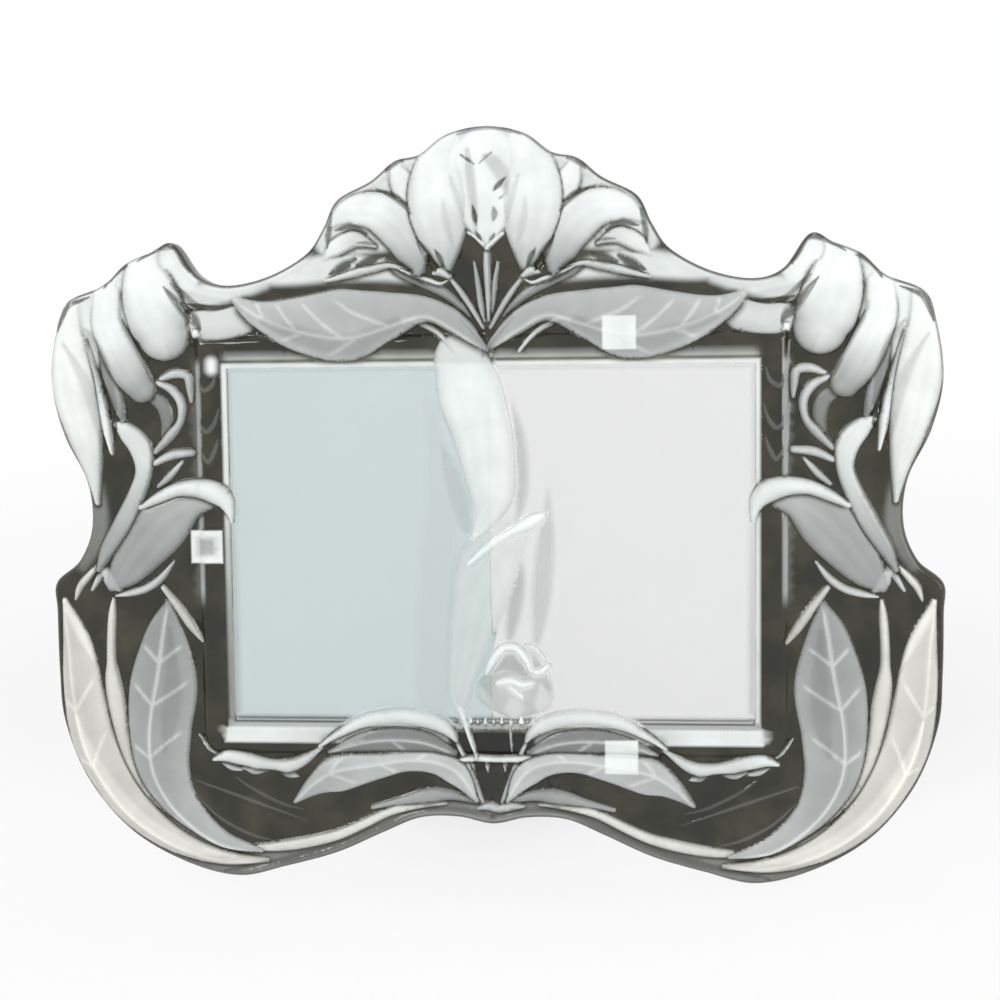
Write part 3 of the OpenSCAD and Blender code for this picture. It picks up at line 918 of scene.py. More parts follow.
            # Painted shade darkens a bud towards its sides
            tone = tone * (1.0 - self.round_side_shade * b**2)
            frost = self.frost * ease(edge, 0.0, self.bud_fade)
        elif self.look is Look.WASH:
            wall = smooth(edge / self.wash_fade)
            dome, taper = 1.0 + 0 * t, 1.0
            frost = self.frost * wall
        height = self.rise * taper * wall * (foot + (1 - foot) * dome) + self.rib_rise * rib * wall
        return height, np.clip(frost, 0, 1), np.clip(tone, 0, 1)

    def rows(self, side: int, step: float) -> list[Array]:
        """Lines of mesh points that follow the ornament's edges and ribs.

        Args:
            side: 1 as drawn, -1 mirrored.
            step: the distance between points.

        Returns:
            Arrays of across and up.
        """
        faint = self.look is Look.CUT and self.frost < self.faint_cut
        if self.look is Look.WASH or faint:
            return []
        line = even(self.line, step)
        across = normals(line)
        ahead = np.stack([across[:, 1], -across[:, 0]], 1)
        found = []
        for inset in (0.0, self.wall, -self.beside):
            wide = np.maximum(line[:, 2] - inset, self.thinnest)
            found += [line[:, :2] + across * (hand * wide)[:, None] for hand in (-1, 1)]
            for end, way in ((0, -1), (-1, 1)):
                angles = np.linspace(0, math.pi, max(int(math.pi * wide[end] / step), 2) + 1)[1:-1]
                found.append(line[end, :2] + wide[end] * (
                    np.cos(angles)[:, None] * across[end]
                    + np.sin(angles)[:, None] * (ahead[end] * way)))
        t = np.linspace(0, 1, len(line))
        if self.look in (Look.STEM, Look.CUT) or self.veins:
            offset = self.middle(t) * line[:, 2]
            for shift in (0.0, -self.rib_side, self.rib_side) if self.veins else (0.0,):
                found.append(line[:, :2] + across * (offset + shift)[:, None])
        for root, hand, way in self.veins:
            at = min(int(root * (len(line) - 1)), len(line) - 2)
            middle = self.middle(t[at])
            room = line[at, 2] * (1 - hand * middle)
            reached = np.linspace(0.4, room * 0.85, max(int(room / step), 2))[:, None]
            start = line[at, :2] + across[at] * middle * line[at, 2]
            along = ahead[at] * way / math.tan(self.vein_angle)
            found.append(start + reached * (across[at] * hand + along))
        return [rows * np.array([side, 1]) for rows in found]


def cut(
    spine: tuple[tuple[int, int, int], ...], rise: float, frost: float, painted_shade: float = 0.0
) -> Blade:
    """Makes a groove or fold.

    Args:
        spine: as for every ornament.
        rise: its depth in mm.
        frost: the share of the frosting that it takes.
        painted_shade: the share of the brightness that it takes as painted shade, or adds as a
            painted
        highlight where it is minus.

    Returns:
        The cut.
    """
    return Blade(Look.CUT, spine, rise, (painted_shade, 0.0), frost)


def alone(**blades: Blade) -> dict[str, Blade]:
    """The same ornaments, on one side only."""
    return {name: replace(blade, alone=True) for name, blade in blades.items()}


petal, leaf, stem, bud, wash = (
    partial(Blade, look) for look in (Look.PETAL, Look.LEAF, Look.STEM, Look.BUD, Look.WASH))
# Each ornament has its spine, rise, tone and frost, and each cut its spine, depth and two shares.
BLADES = dict(
    # Ground between the ornaments
    crown_ground=wash(((0, 950, 1000), (120, 920, 1200), (240, 885, 1000), (340, 850, 500)), 0.3,
        (0.9, 0.86), 0.86),
    frill_ground=wash(((540, 800, 200), (440, 808, 350), (340, 815, 400), (250, 812, 350),
        (170, 800, 200)), 0.25, (0.95, 0.72), 0.9),
    corner_ground=wash(((970, 600, 500), (950, 700, 800), (880, 760, 800), (760, 815, 750),
        (700, 810, 700)), 0.3, (0.97, 0.95), 0.93),
    shoulder_ground=wash(((730, 800, 300), (660, 782, 360), (580, 786, 340), (500, 800, 300)), 0.25,
        (0.95, 0.8), 0.9),
    **alone(
        # Pale patch at the window's upper left corner, a painted highlight, and painted shade
        # beside the hanging leaf
        window_corner=wash(((-620, 692, 220), (-620, 688, 220), (-620, 684, 220)), 0.3, (1, 1),
            0.9),
        shade_a=wash(((-107, 588, 100), (-88, 549, 260), (-68, 509, 300), (-52, 476, 240),
            (-25, 456, 100)), 0.05, (0.45, 0.4), 0.42),
        shade_b=wash(((54, 640, 68), (66, 600, 203), (72, 554, 248), (71, 508, 203), (57, 475, 90)),
            0.05, (0.35, 0.35), 0.5),
        shade_c=wash(((72, 429, 90), (65, 402, 225), (56, 369, 248), (46, 336, 203), (39, 316, 90)),
            0.05, (0.3, 0.25), 0.5),
        shade_e=wash(((132, 521, 113), (126, 455, 270), (114, 376, 293), (101, 309, 135)), 0.05,
            (0.45, 0.4), 0.5),
        shade_d=wash(((-130, 640, 200), (-110, 520, 400), (-120, 400, 500), (-130, 280, 500),
            (-130, 200, 400)), 0.05, (0.55, 0.5), 0.2),
    ),
    # Ground along the rim and at the waist
    rim_ground=wash(((889, 272, 45), (893, 239, 203), (885, 205, 270), (870, 171, 293),
        (837, 130, 270), (788, 91, 225), (696, 53, 158), (615, 35, 90)), 0.5, (0.5, 0.6), 0.85,
        warm=0.8),
    waist_ground=wash(((930, 600, 200), (900, 530, 300), (890, 470, 300), (930, 420, 200)), 0.3,
        (0.5, 0.3), 0.5, warm=0.3),
    # Corner flower
    inner_petal=petal(((756, 836, 248), (764, 818, 450), (761, 797, 585), (753, 776, 664),
        (742, 755, 687), (734, 742, 675), (727, 730, 597)), 4.5, (1, 0.77), ridge=(-0.2, 0.2),
        lip=0.7),
    middle_petal=petal(((853, 782, 338), (857, 748, 360), (833, 711, 405), (803, 678, 405),
        (780, 659, 340)), 3.8, (0.99, 0.4), ridge=(0.2, -0.2)),
    outer_petal=petal(((934, 770, 180), (946, 725, 383), (937, 665, 518), (917, 604, 428),
        (899, 551, 225), (890, 506, 68)), 3.6, (0.97, 0.8), ridge=(0.1, 0.3), warm=0.2),
    slim_petal=stem(((911, 727, 68), (893, 674, 158), (868, 618, 135), (854, 572, 45)), 3.2,
        (0.9, 0.95)),
    slim_shadow=petal(((878, 737, 68), (860, 687, 158), (839, 641, 158), (824, 612, 45)), 2.2,
        (0.6, 0.3), 0.75),
    # Stem under the flower, its curl, twigs and hook
    finger=petal(((841, 612, 90), (816, 601, 225), (787, 580, 270), (781, 550, 203),
        (797, 521, 203), (831, 481, 225), (870, 443, 180), (892, 416, 68)), 3.6, (0.88, 0.4), 0.85),
    curl=stem(((744, 666, 68), (712, 657, 113), (692, 639, 113), (695, 615, 90), (719, 596, 113),
        (755, 574, 68)), 2.6, (0.7, 0.5)),
    twig_a=stem(((736, 671, 68), (706, 678, 113), (677, 675, 113), (671, 657, 90), (669, 641, 45)),
        2.4, (0.75, 0.45)),
    twig_b=stem(((760, 558, 68), (716, 570, 113), (670, 573, 90)), 2.4, (0.75, 0.6)),
    twig_c=stem(((750, 528, 45), (722, 542, 90), (693, 561, 45)), 2.2, (0.45, 0.7)),
    hook=petal(((782, 641, 60), (757, 646, 145), (733, 635, 175), (726, 612, 145), (738, 589, 40)),
        1.4, (0.34, 0.3), 0.62),
    # Side leaf, its rolled edge, the engraved arcs and its root
    side_leaf=petal(((863, 394, 135), (832, 414, 405), (784, 450, 585), (729, 483, 585),
        (678, 502, 360), (638, 506, 180)), 3, (0.36, 0.5), 0.9, ridge=(0.3, -0.2)),
    side_roll=stem(((789, 500, 68), (749, 513, 135), (705, 524, 169), (661, 526, 214),
        (622, 521, 259), (595, 510, 225), (584, 495, 135), (580, 481, 56)), 4.4, (0.85, 0.85)),
    arc_a=stem(((653, 672, 20), (640, 656, 60), (619, 663, 60), (609, 680, 20)), 0.3, (0.5, 0.5),
        0.16, lined=False),
    arc_b=stem(((653, 617, 20), (636, 601, 60), (617, 611, 60), (605, 632, 20)), 0.3, (0.5, 0.5),
        0.16, lined=False),
    arc_c=stem(((650, 577, 20), (633, 561, 60), (618, 574, 60), (609, 590, 20)), 0.3, (0.5, 0.5),
        0.16, lined=False),
    side_root=stem(((910, 389, 45), (881, 413, 113), (863, 398, 158), (845, 389, 68)), 2.6,
        (0.8, 0.6), 0.8),
    # Lower leaves along the rim
    ridge=stem(((745, 393, 68), (711, 367, 113), (680, 340, 113), (656, 320, 45)), 2.4, (0.7, 0.5),
        warm=0.7),
    veined_leaf=leaf(((734, 371, 90), (743, 332, 450), (749, 266, 780), (760, 201, 735),
        (751, 143, 590), (705, 91, 360), (623, 50, 203), (531, 34, 68)), 3, (0.34, 0.6), 0.85,
        ridge=(-0.1, 0.8), veins=((0.235, 1, -1), (0.235, -1, -1), (0.36, 1, -1), (0.36, -1, -1),
        (0.52, 1, -1), (0.52, -1, -1)), rib=0.3, vein_angle=0.92),
    rim_leaf=leaf(((974, 375, 68), (949, 318, 338), (936, 252, 473), (918, 190, 518),
        (881, 137, 473), (820, 87, 405), (731, 47, 293), (624, 24, 180), (517, 21, 68)), 3,
        (0.76, 0.72), 0.88, ridge=(0.5, 0.3), veins=((0.3, 1, -1), (0.3, -1, -1), (0.46, 1, -1),
        (0.46, -1, -1)), warm=0.8, rib=0.16),
    long_stem=stem(((861, 376, 45), (865, 355, 101), (869, 321, 113), (870, 291, 124),
        (868, 267, 191), (862, 239, 225), (855, 212, 203), (846, 185, 180), (832, 160, 169),
        (811, 134, 158), (780, 108, 135), (734, 82, 101), (682, 60, 68), (636, 47, 23)), 2.6,
        (0.85, 0.62), 0.92, warm=0.8),
    waist_roll=stem(((892, 424, 34), (917, 408, 90), (938, 393, 90), (949, 376, 34)), 2,
        (0.85, 0.75), 0.92, warm=0.7),
    side_edge=stem(((853, 381, 34), (818, 385, 90), (780, 392, 101), (747, 406, 90),
        (718, 427, 34)), 3.2, (0.8, 0.62), 0.92),
    sill_tail=stem(((671, 194, 18), (651, 177, 45), (626, 164, 18)), 2, (0.6, 0.6), 0.85),
    # Bottom leaves and the sill
    bottom_leaf=leaf(((452, 101, 45), (403, 125, 250), (349, 141, 431), (264, 151, 315),
        (193, 158, 240), (129, 156, 260), (77, 141, 290), (34, 106, 45)), 3.6, (0.52, 0.62), 0.92,
        ridge=(-0.2, -0.2), veins=((0.25, 1, 1), (0.25, -1, 1), (0.45, 1, 1), (0.62, -1, 1)),
        rib=0.2),
    bottom_inner=leaf(((370, 170, 45), (305, 182, 200), (227, 188, 285), (150, 184, 255),
        (87, 170, 113)), 2.2, (0.3, 0.26), 0.75, veins=((0.5, 1, 1),), rib=0.3),
    bottom_roll=stem(((390, 179, 45), (353, 194, 97), (291, 213, 167), (220, 220, 194),
        (161, 218, 203), (116, 210, 191), (91, 199, 135), (78, 187, 45)), 4.4, (0.85, 0.72)),
    sill=stem(((638, 158, 45), (607, 163, 146), (570, 160, 169), (534, 155, 158), (499, 152, 135),
        (462, 151, 158), (434, 157, 135), (406, 168, 90), (381, 179, 34)), 2.4, (0.85, 0.65)),
    fringe_a=stem(((617, 153, 23), (594, 148, 90), (566, 144, 34)), 1.6, (0.8, 0.6), 0.85),
    fringe_b=stem(((571, 148, 23), (543, 143, 90), (516, 143, 23)), 1.6, (0.8, 0.6), 0.85),
    fringe_c=stem(((490, 148, 34), (465, 140, 101), (442, 136, 23)), 1.6, (0.8, 0.6), 0.85),
    # Foot, its engraved lines and the tie beside it
    foot_ruffle=petal(((273, 95, 56), (208, 105, 97), (145, 113, 167), (88, 113, 125),
        (32, 104, 56)), 2.4, (0.45, 0.35), 0.8),
    foot_line=stem(((608, 39, 34), (545, 38, 90), (480, 41, 135), (413, 48, 146), (350, 58, 135),
        (293, 73, 124), (233, 90, 113), (166, 100, 113), (105, 102, 45)), 2, (0.75, 0.88), 0.92,
        warm=0.6),
    foot_ground=wash(((750, 30, 200), (600, 12, 300), (450, 28, 350), (330, 50, 350),
        (200, 88, 300), (0, 88, 300)), 0.3, (0.3, 0.5), 0.6, warm=0.4),
    engraved_a=stem(((701, 133, 10), (608, 114, 45), (523, 96, 45), (423, 75, 10)), 0.5, (0.5, 0.5),
        0.14, lined=False),
    engraved_b=stem(((600, 140, 10), (550, 119, 45), (479, 98, 45), (422, 90, 10)), 0.5, (0.5, 0.5),
        0.12, lined=False),
    engraved_c=stem(((695, 118, 10), (631, 80, 45), (553, 55, 45), (481, 45, 10)), 0.5, (0.5, 0.5),
        0.14, lined=False),
    tie_side=stem(((76, 183, 45), (59, 161, 68), (41, 134, 68), (21, 103, 45)), 2.4, (0.7, 0.5)),
    # Leaf over the window, and the shoulder
    top_leaf=leaf(((561, 773, 113), (503, 754, 338), (417, 742, 630), (316, 740, 811),
        (226, 751, 563), (136, 759, 293), (64, 739, 248), (0, 706, 68)), 3, (0.56, 0.42), 0.92,
        ridge=(0.1, 0.75), veins=((0.16, -1, -1), (0.28, -1, -1), (0.42, -1, -1), (0.58, -1, -1),
        (0.3, 1, -1), (0.46, 1, -1)), rib=0.22, lip=1.1),
    top_leaf_edge=stem(((71, 703, 45), (110, 729, 68), (164, 744, 90), (211, 742, 68)), 2.8,
        (0.8, 0.7)),
    shoulder_bar=stem(((675, 743, 300), (612, 743, 360), (550, 748, 340), (530, 755, 200)), 1.6,
        (0.8, 0.74), 0.9, lip=0.6),
    shoulder_pearl=stem(((662, 734, 40), (654, 731, 130), (646, 728, 40)), 2.6, (1, 1)),
    # Crown
    crown_lobe=petal(((345, 870, 90), (300, 887, 315), (238, 886, 450), (183, 860, 495),
        (158, 832, 405), (149, 811, 160)), 3.9, (0.98, 0.4), ridge=(-0.1, 0.1), lip=0.6),
    crown_back=petal(((200, 953, 68), (187, 929, 270), (162, 901, 338), (136, 864, 225),
        (119, 836, 68)), 2.8, (0.96, 0.5)),
    crown_half=petal(((71, 977, 225), (99, 945, 540), (104, 900, 675), (96, 855, 540),
        (88, 820, 225), (86, 807, 68)), 4.3, (0.95, 0.45), ridge=(0.1, 0.1)),
    crown_frill=petal(((360, 826, 60), (335, 840, 200), (292, 851, 200), (246, 842, 60)), 2.4,
        (0.95, 0.7), 0.9),
    crown_frill_low=stem(((360, 797, 40), (302, 806, 100), (250, 813, 100), (200, 815, 60),
        (130, 793, 45)), 2, (0.8, 0.6), 0.9),
    crown_knot=stem(((117, 805, 45), (100, 807, 113), (82, 801, 68)), 4.4, (0.75, 0.7)),
    sepal=stem(((225, 821, 45), (192, 808, 101), (150, 797, 124), (110, 786, 124), (75, 772, 101),
        (38, 750, 45)), 1.8, (0.6, 0.36), 0.75),
    sepal_line=stem(((194, 812, 23), (163, 804, 50), (128, 797, 59), (101, 792, 50), (81, 798, 23)),
        3, (0.85, 0.8)),
    stem_outer=stem(((84, 802, 45), (58, 782, 68), (32, 759, 68), (8, 734, 45)), 2.6, (0.6, 0.5)),
    stem_inner=stem(((26, 819, 34), (18, 790, 68), (12, 762, 68), (4, 742, 34)), 2.4, (0.4, 0.5)),
    leaf_stem=stem(((57, 748, 45), (28, 730, 68), (6, 714, 68), (9, 697, 45)), 2.8, (0.5, 0.4)),
    **alone(
        # Middle of the crown
        crown_petal=petal(((2, 991, 315), (3, 963, 901), (2, 925, 1171), (2, 893, 946),
            (3, 863, 495), (3, 842, 113)), 4.4, (0.95, 0.85), lined=False),
        crown_vein=stem(((3, 853, 45), (2, 819, 90), (4, 783, 79), (5, 744, 45)), 3.4, (0.7, 0.5)),
        crown_vein_left=stem(((-39, 858, 34), (-19, 850, 56), (3, 837, 68)), 3.6, (0.95, 0.95)),
        crown_vein_right=stem(((47, 859, 34), (27, 850, 56), (3, 837, 68)), 3.6, (0.95, 0.95)),
        # Hanging leaf, its fold and the leaf below
        upper_leaf=petal(((-58, 693, 608), (-39, 651, 743), (-15, 603, 698), (-1, 559, 630),
            (5, 518, 540), (-14, 482, 293), (-36, 458, 68)), 2.8, (0.9, 0.82), 0.8,
            ridge=(-0.2, 0.3)),
        fold=stem(((-48, 424, 45), (1, 448, 90), (49, 466, 113), (91, 479, 180), (123, 489, 90)),
            4.3, (0.98, 0.98)),
        lower_leaf=petal(((92, 477, 68), (42, 455, 540), (4, 427, 766), (-17, 390, 743),
            (-36, 350, 608), (-53, 303, 473), (-69, 256, 315), (-66, 222, 180), (-48, 196, 68)),
            2.8, (0.72, 0.66), 0.6, ridge=(0.3, -0.3), lined=False),
        # Bud, its lines and the tie under it
        bud=bud(((40, 315, 135), (46, 302, 495), (53, 281, 766), (54, 259, 901), (54, 240, 856),
            (52, 227, 540), (51, 218, 113)), 3, (0.4, 0.5), 0.66, lined=False),
        bud_a=stem(((-11, 277, 45), (5, 295, 113), (28, 312, 113), (57, 313, 113), (79, 299, 113),
            (90, 283, 68)), 4.3, (0.95, 0.98)),
        bud_b=stem(((90, 283, 45), (110, 281, 90), (130, 290, 68)), 4.2, (0.98, 0.95)),
        bud_c=stem(((13, 265, 45), (45, 269, 90), (70, 264, 90), (97, 267, 45)), 4.2, (0.98, 0.98)),
        bud_d=stem(((36, 264, 34), (54, 256, 68), (72, 247, 45)), 4, (0.98, 0.98)),
        bud_e=stem(((80, 317, 45), (102, 312, 68), (124, 296, 45)), 3.6, (0.9, 0.85)),
        tie_bar=stem(((-77, 161, 45), (-36, 164, 90), (14, 163, 90), (63, 164, 90), (104, 166, 45)),
            3, (0.9, 0.9)),
        drip_a=stem(((-49, 166, 34), (-45, 156, 56), (-40, 148, 23)), 2.2, (0.8, 0.5)),
        drip_b=stem(((-10, 165, 34), (-11, 154, 56), (-9, 145, 23)), 2.2, (0.8, 0.5)),
        drip_c=stem(((26, 166, 34), (28, 157, 56), (30, 146, 23)), 2.2, (0.8, 0.5)),
        tie_line=stem(((42, 205, 18), (44, 189, 32), (46, 172, 18)), 1.6, (0.7, 0.6), 0.8),
        tie_foot=stem(((-33, 96, 45), (-6, 99, 113), (17, 96, 113), (44, 99, 113), (71, 99, 45)),
            2.4, (0.7, 0.7), 0.8),
        stalk=stem(((-83, 243, 23), (-63, 221, 68), (-48, 193, 68), (-33, 165, 34)), 3.6,
            (0.9, 0.85)),
        # Beads of the tie
        **{f"bead_{i}": stem(((across, 212 + size, 30), (across, 212, 10 * size),
                               (across, 213 - size, 30)), 3.2, (0.95, 0.9), lined=False)
           for i, (across, size) in enumerate((
               (-46, 7), (-30, 4), (-13, 6), (6, 4), (24, 7), (44, 5), (68, 9), (94, 6), (116, 8),
               (135, 4)))},
    ),
)
CUTS = dict(
    **alone(
        # Clear strokes on the crown; one also darkens the frosting as painted shade
        cut_a=cut(((-52, 957, 23), (-37, 951, 50), (-21, 944, 23)), 0.8, 0.8),
        cut_b=cut(((18, 959, 23), (5, 953, 45), (-10, 945, 23)), 0.8, 0.6),
        cut_c=cut(((18, 909, 20), (31, 917, 80), (47, 927, 20)), 1, 0.85),
        cut_d=cut(((-26, 892, 20), (-22, 878, 80), (-19, 866, 20)), 1, 0.9),
        cut_e=cut(((20, 889, 30), (22, 880, 90), (18, 871, 30)), 1, 0.5, 0.2),
        cut_f=cut(((-22, 860, 20), (-14, 852, 60), (-6, 846, 20)), 1, 0.85),
        cut_g=cut(((22, 857, 20), (15, 850, 50), (9, 846, 20)), 1, 0.7),
        cut_h=cut(((30, 898, 20), (37, 901, 40), (43, 904, 20)), 0.6, 0.5),
    ),
    # Clear strokes beside the lobes, on the frill, the shoulder and the flower; the two petal
    # strokes also darken the frosting as painted shade
    lobe_cut=cut(((242, 916, 20), (205, 907, 90), (180, 896, 90), (162, 882, 20)), 0.6, 0.75),
    base_cut=cut(((153, 852, 23), (136, 836, 113), (123, 822, 135), (110, 808, 45)), 0.8, 0.9),
    base_cut_b=cut(((111, 836, 23), (101, 825, 90), (92, 812, 45)), 0.8, 0.85),
    frill_cut_a=cut(((335, 863, 30), (300, 867, 100), (262, 858, 30)), 0.6, 0.8),
    frill_cut_b=cut(((350, 806, 40), (320, 815, 170), (292, 825, 80)), 0.6, 0.9),
    frill_cut_c=cut(((288, 817, 60), (257, 823, 170), (228, 829, 40)), 0.6, 0.9),
    frill_cut_d=cut(((285, 846, 20), (262, 846, 60), (240, 842, 20)), 0.6, 0.6),
    shoulder_cut=cut(((672, 770, 30), (642, 766, 85), (608, 764, 85), (574, 766, 30)), 0.8, 0.95),
    petal_cut=cut(((722, 794, 23), (702, 780, 90), (678, 762, 135), (656, 748, 158),
        (643, 736, 45)), 0.8, 0.75, 0.2),
    petal_cut_b=cut(((706, 798, 23), (684, 785, 79), (659, 771, 90), (634, 766, 45)), 0.5, 0.5,
        0.3),
    flower_cut=cut(((868, 670, 30), (855, 640, 100), (838, 605, 40)), 0.6, 0.8),
    # Dark thickenings of the rim, and a band along its foot: they clear the frosting and darken it
    # as painted shade
    rim_cut_a=cut(((780, 826, 23), (750, 837, 68), (720, 845, 90), (695, 844, 113), (678, 825, 90),
        (665, 811, 23)), 0.4, 0.75, 0.3),
    rim_cut_b=cut(((855, 793, 45), (845, 808, 124), (826, 817, 124), (801, 821, 23)), 0.4, 0.75,
        0.3),
    rim_cut_c=cut(((967, 735, 23), (956, 756, 101), (940, 770, 90), (895, 781, 23)), 0.4, 0.75,
        0.3),
    rim_cut_d=cut(((352, 840, 40), (349, 860, 90), (340, 885, 40)), 0.4, 0.7, 0.2),
    rim_cut_e=cut(((220, 937, 30), (203, 948, 120), (180, 951, 30)), 0.4, 0.7, 0.2),
    **alone(
        rim_cut_f=cut(((-60, 983, 30), (-20, 990, 70), (30, 990, 70), (80, 982, 30)), 0.3, 0.45,
            0.2),
    ),
    rim_cut_g=cut(((620, 5, 40), (477, 22, 110), (358, 43, 120), (252, 71, 120), (166, 92, 100),
        (79, 94, 100), (0, 85, 80)), 0.05, 0.19, 0.5),
    **alone(
        # Folds greyed with painted shade, and pale ones with a minus that are painted highlights
        crown_fold_a=cut(((-36, 963, 60), (-30, 931, 140), (-24, 893, 120), (-20, 854, 40)), 0.4, 0,
            0.3),
        crown_fold_b=cut(((0, 955, 60), (22, 945, 220), (40, 930, 220), (50, 905, 60)), 0.4, 0,
            0.3),
    ),
    # More folds greyed with painted shade; the rim's roll and shine are painted highlights
    crown_fold_c=cut(((-75, 930, 40), (-60, 900, 100), (-45, 868, 40)), 0.4, 0, 0.2),
    crown_fold_d=cut(((90, 900, 40), (85, 870, 120), (70, 840, 40)), 0.4, 0, 0.15),
    outer_fold=cut(((955, 720, 40), (910, 672, 160), (885, 620, 140), (868, 570, 40)), 0.5, 0,
        0.25),
    middle_fold=cut(((907, 738, 40), (878, 711, 160), (857, 675, 160), (840, 630, 60)), 0.5, 0.1,
        0.35),
    leaf_fold_a=cut(((500, 745, 100), (400, 722, 300), (300, 712, 350), (200, 740, 200)), 0.3, 0,
        0.22),
    leaf_fold_b=cut(((729, 338, 45), (727, 294, 203), (727, 247, 315), (736, 206, 270),
        (749, 169, 45)), 0.2, 0, 0.2),
    shoulder_fold=cut(((702, 791, 45), (657, 779, 135), (612, 774, 113), (571, 772, 45)), 0.2, 0,
        0.14),
    rim_roll_highlight=cut(((981, 381, 45), (961, 362, 158), (939, 339, 203), (919, 316, 180),
        (902, 291, 45)), -0.3, 0, -0.34),
    rim_shine=cut(((950, 217, 45), (924, 170, 180), (884, 128, 225), (835, 91, 225), (770, 61, 203),
        (692, 38, 158), (592, 27, 45)), -0.2, 0, -0.26),
    stem_shade=cut(((895, 278, 45), (887, 253, 113), (879, 223, 113), (867, 191, 68),
        (854, 171, 23)), 0.1, 0, 0.28),
    **alone(
        # Folds of the bud with painted shade, and its glows, which are painted highlights
        bud_fold=cut(((12, 281, 45), (33, 291, 180), (53, 293, 225), (73, 283, 135), (88, 274, 23)),
            0.4, 0.3, 0.75),
        bud_side=cut(((138, 297, 45), (144, 276, 180), (137, 254, 68)), 0.3, 0, 0.4),
        bud_glow_a=cut(((113, 262, 68), (119, 242, 270), (110, 222, 90)), -0.1, 0, -0.6),
        bud_glow_b=cut(((-24, 259, 68), (-16, 240, 270), (0, 221, 90)), -0.1, 0, -0.45),
        bud_glow_c=cut(((47, 246, 68), (52, 232, 315), (56, 219, 90)), -0.1, 0, -0.35),
    ),
)
OUTLINE_SHARES = (
    (0, 0.998), (0.086, 0.988), (0.146, 0.963), (0.202, 0.955), (0.255, 0.93), (0.331, 0.906),
    (0.364, 0.869), (0.404, 0.836), (0.49, 0.808), (0.583, 0.797), (0.649, 0.81), (0.705, 0.853),
    (0.755, 0.842), (0.815, 0.827), (0.868, 0.799), (0.95, 0.778), (0.977, 0.737), (0.992, 0.667),
    (0.967, 0.6), (0.917, 0.537), (0.909, 0.478), (0.94, 0.431), (0.996, 0.401), (0.997, 0.361),
    (0.996, 0.282), (0.987, 0.212), (0.937, 0.133), (0.841, 0.063), (0.715, 0.019), (0.589, 0),
    (0.477, 0.014), (0.358, 0.034), (0.252, 0.062), (0.166, 0.083), (0.079, 0.085), (0, 0.076),
)


@dataclass(frozen=True)
class WindowEdge:
    """Marks round the window, in mm out from its edge. Sill, line and foot go down from its foot.

    A band has four limits and a streak has its place and its width.

    Args:
        rows: where rows of mesh points follow the window.
        outer_foot: heights between which the outer line fades in.
        pale_above: how far above the foot the border starts to grow paler, as painted light from
            above.
        bead_whiteness: frost of the bead, a painted highlight along the bevel, at the foot, and
            what it
        gains towards the top.
        bead_right: the least frost of the bead right of the middle.
        sill_ends: distances from the middle between which the sill fades in.
        sill_shade: distances from the middle between which the sill's dark part ends.
        dark_edge: distances out over which the painted shade of the dark inner edge ends.
        tones: brightness of the plate, and how much the sill, the inner edge (painted shade), the
            line
        and the foot take from it.
    """

    bead: Share = (-0.3, 0.5, 1.3, 2.2)
    bead_rise: float = 0.35
    # Painted shade on the prints' edges inside the window, and its frost
    painted_edge_shade: Share = (-3.2, -0.8, -0.3, 0.5)
    painted_edge_shade_frost: float = 0.35
    # A dark streak just inside the edge, painted shade
    dark: Share = (-0.7, 0.5)
    dark_frost: float = 0.45
    line: Share = (-1.5, 0.65)
    line_frost: float = 0.8
    foot: Share = (-0.9, -0.4, 1.3, 1.8)
    foot_frost: float = 0.95
    sill: Share = (1.2, 1.8, 6.4, 7.4)
    sill_frost: float = 0.9
    head: Share = (2.2, 3.2, 3.2, 6.0)
    outer: Share = (9.0, 9.6, 10.6, 11.2)
    outer_frost: float = 0.4
    outer_foot: Share = (92, 100)
    pale_above: float = 20.0
    bead_whiteness: Share = (0.25, 0.65)
    bead_right: float = 0.8
    sill_ends: Share = (14, 16)
    sill_shade: Share = (28, 75)
    dark_edge: Share = (-0.6, 0.1)
    tones: Share = (0.9, 0.45, 0.65, 0.78, 0.5)
    rows: Share = (-3.2, -2.3, -1.5, -0.8, -0.3, 0.5, 1.3, 1.8, 2.3, 3.3, 6.4, 7.4, 8.6, 9.6, 10.6,
                   SIZES.border)


WINDOW_EDGE = WindowEdge()


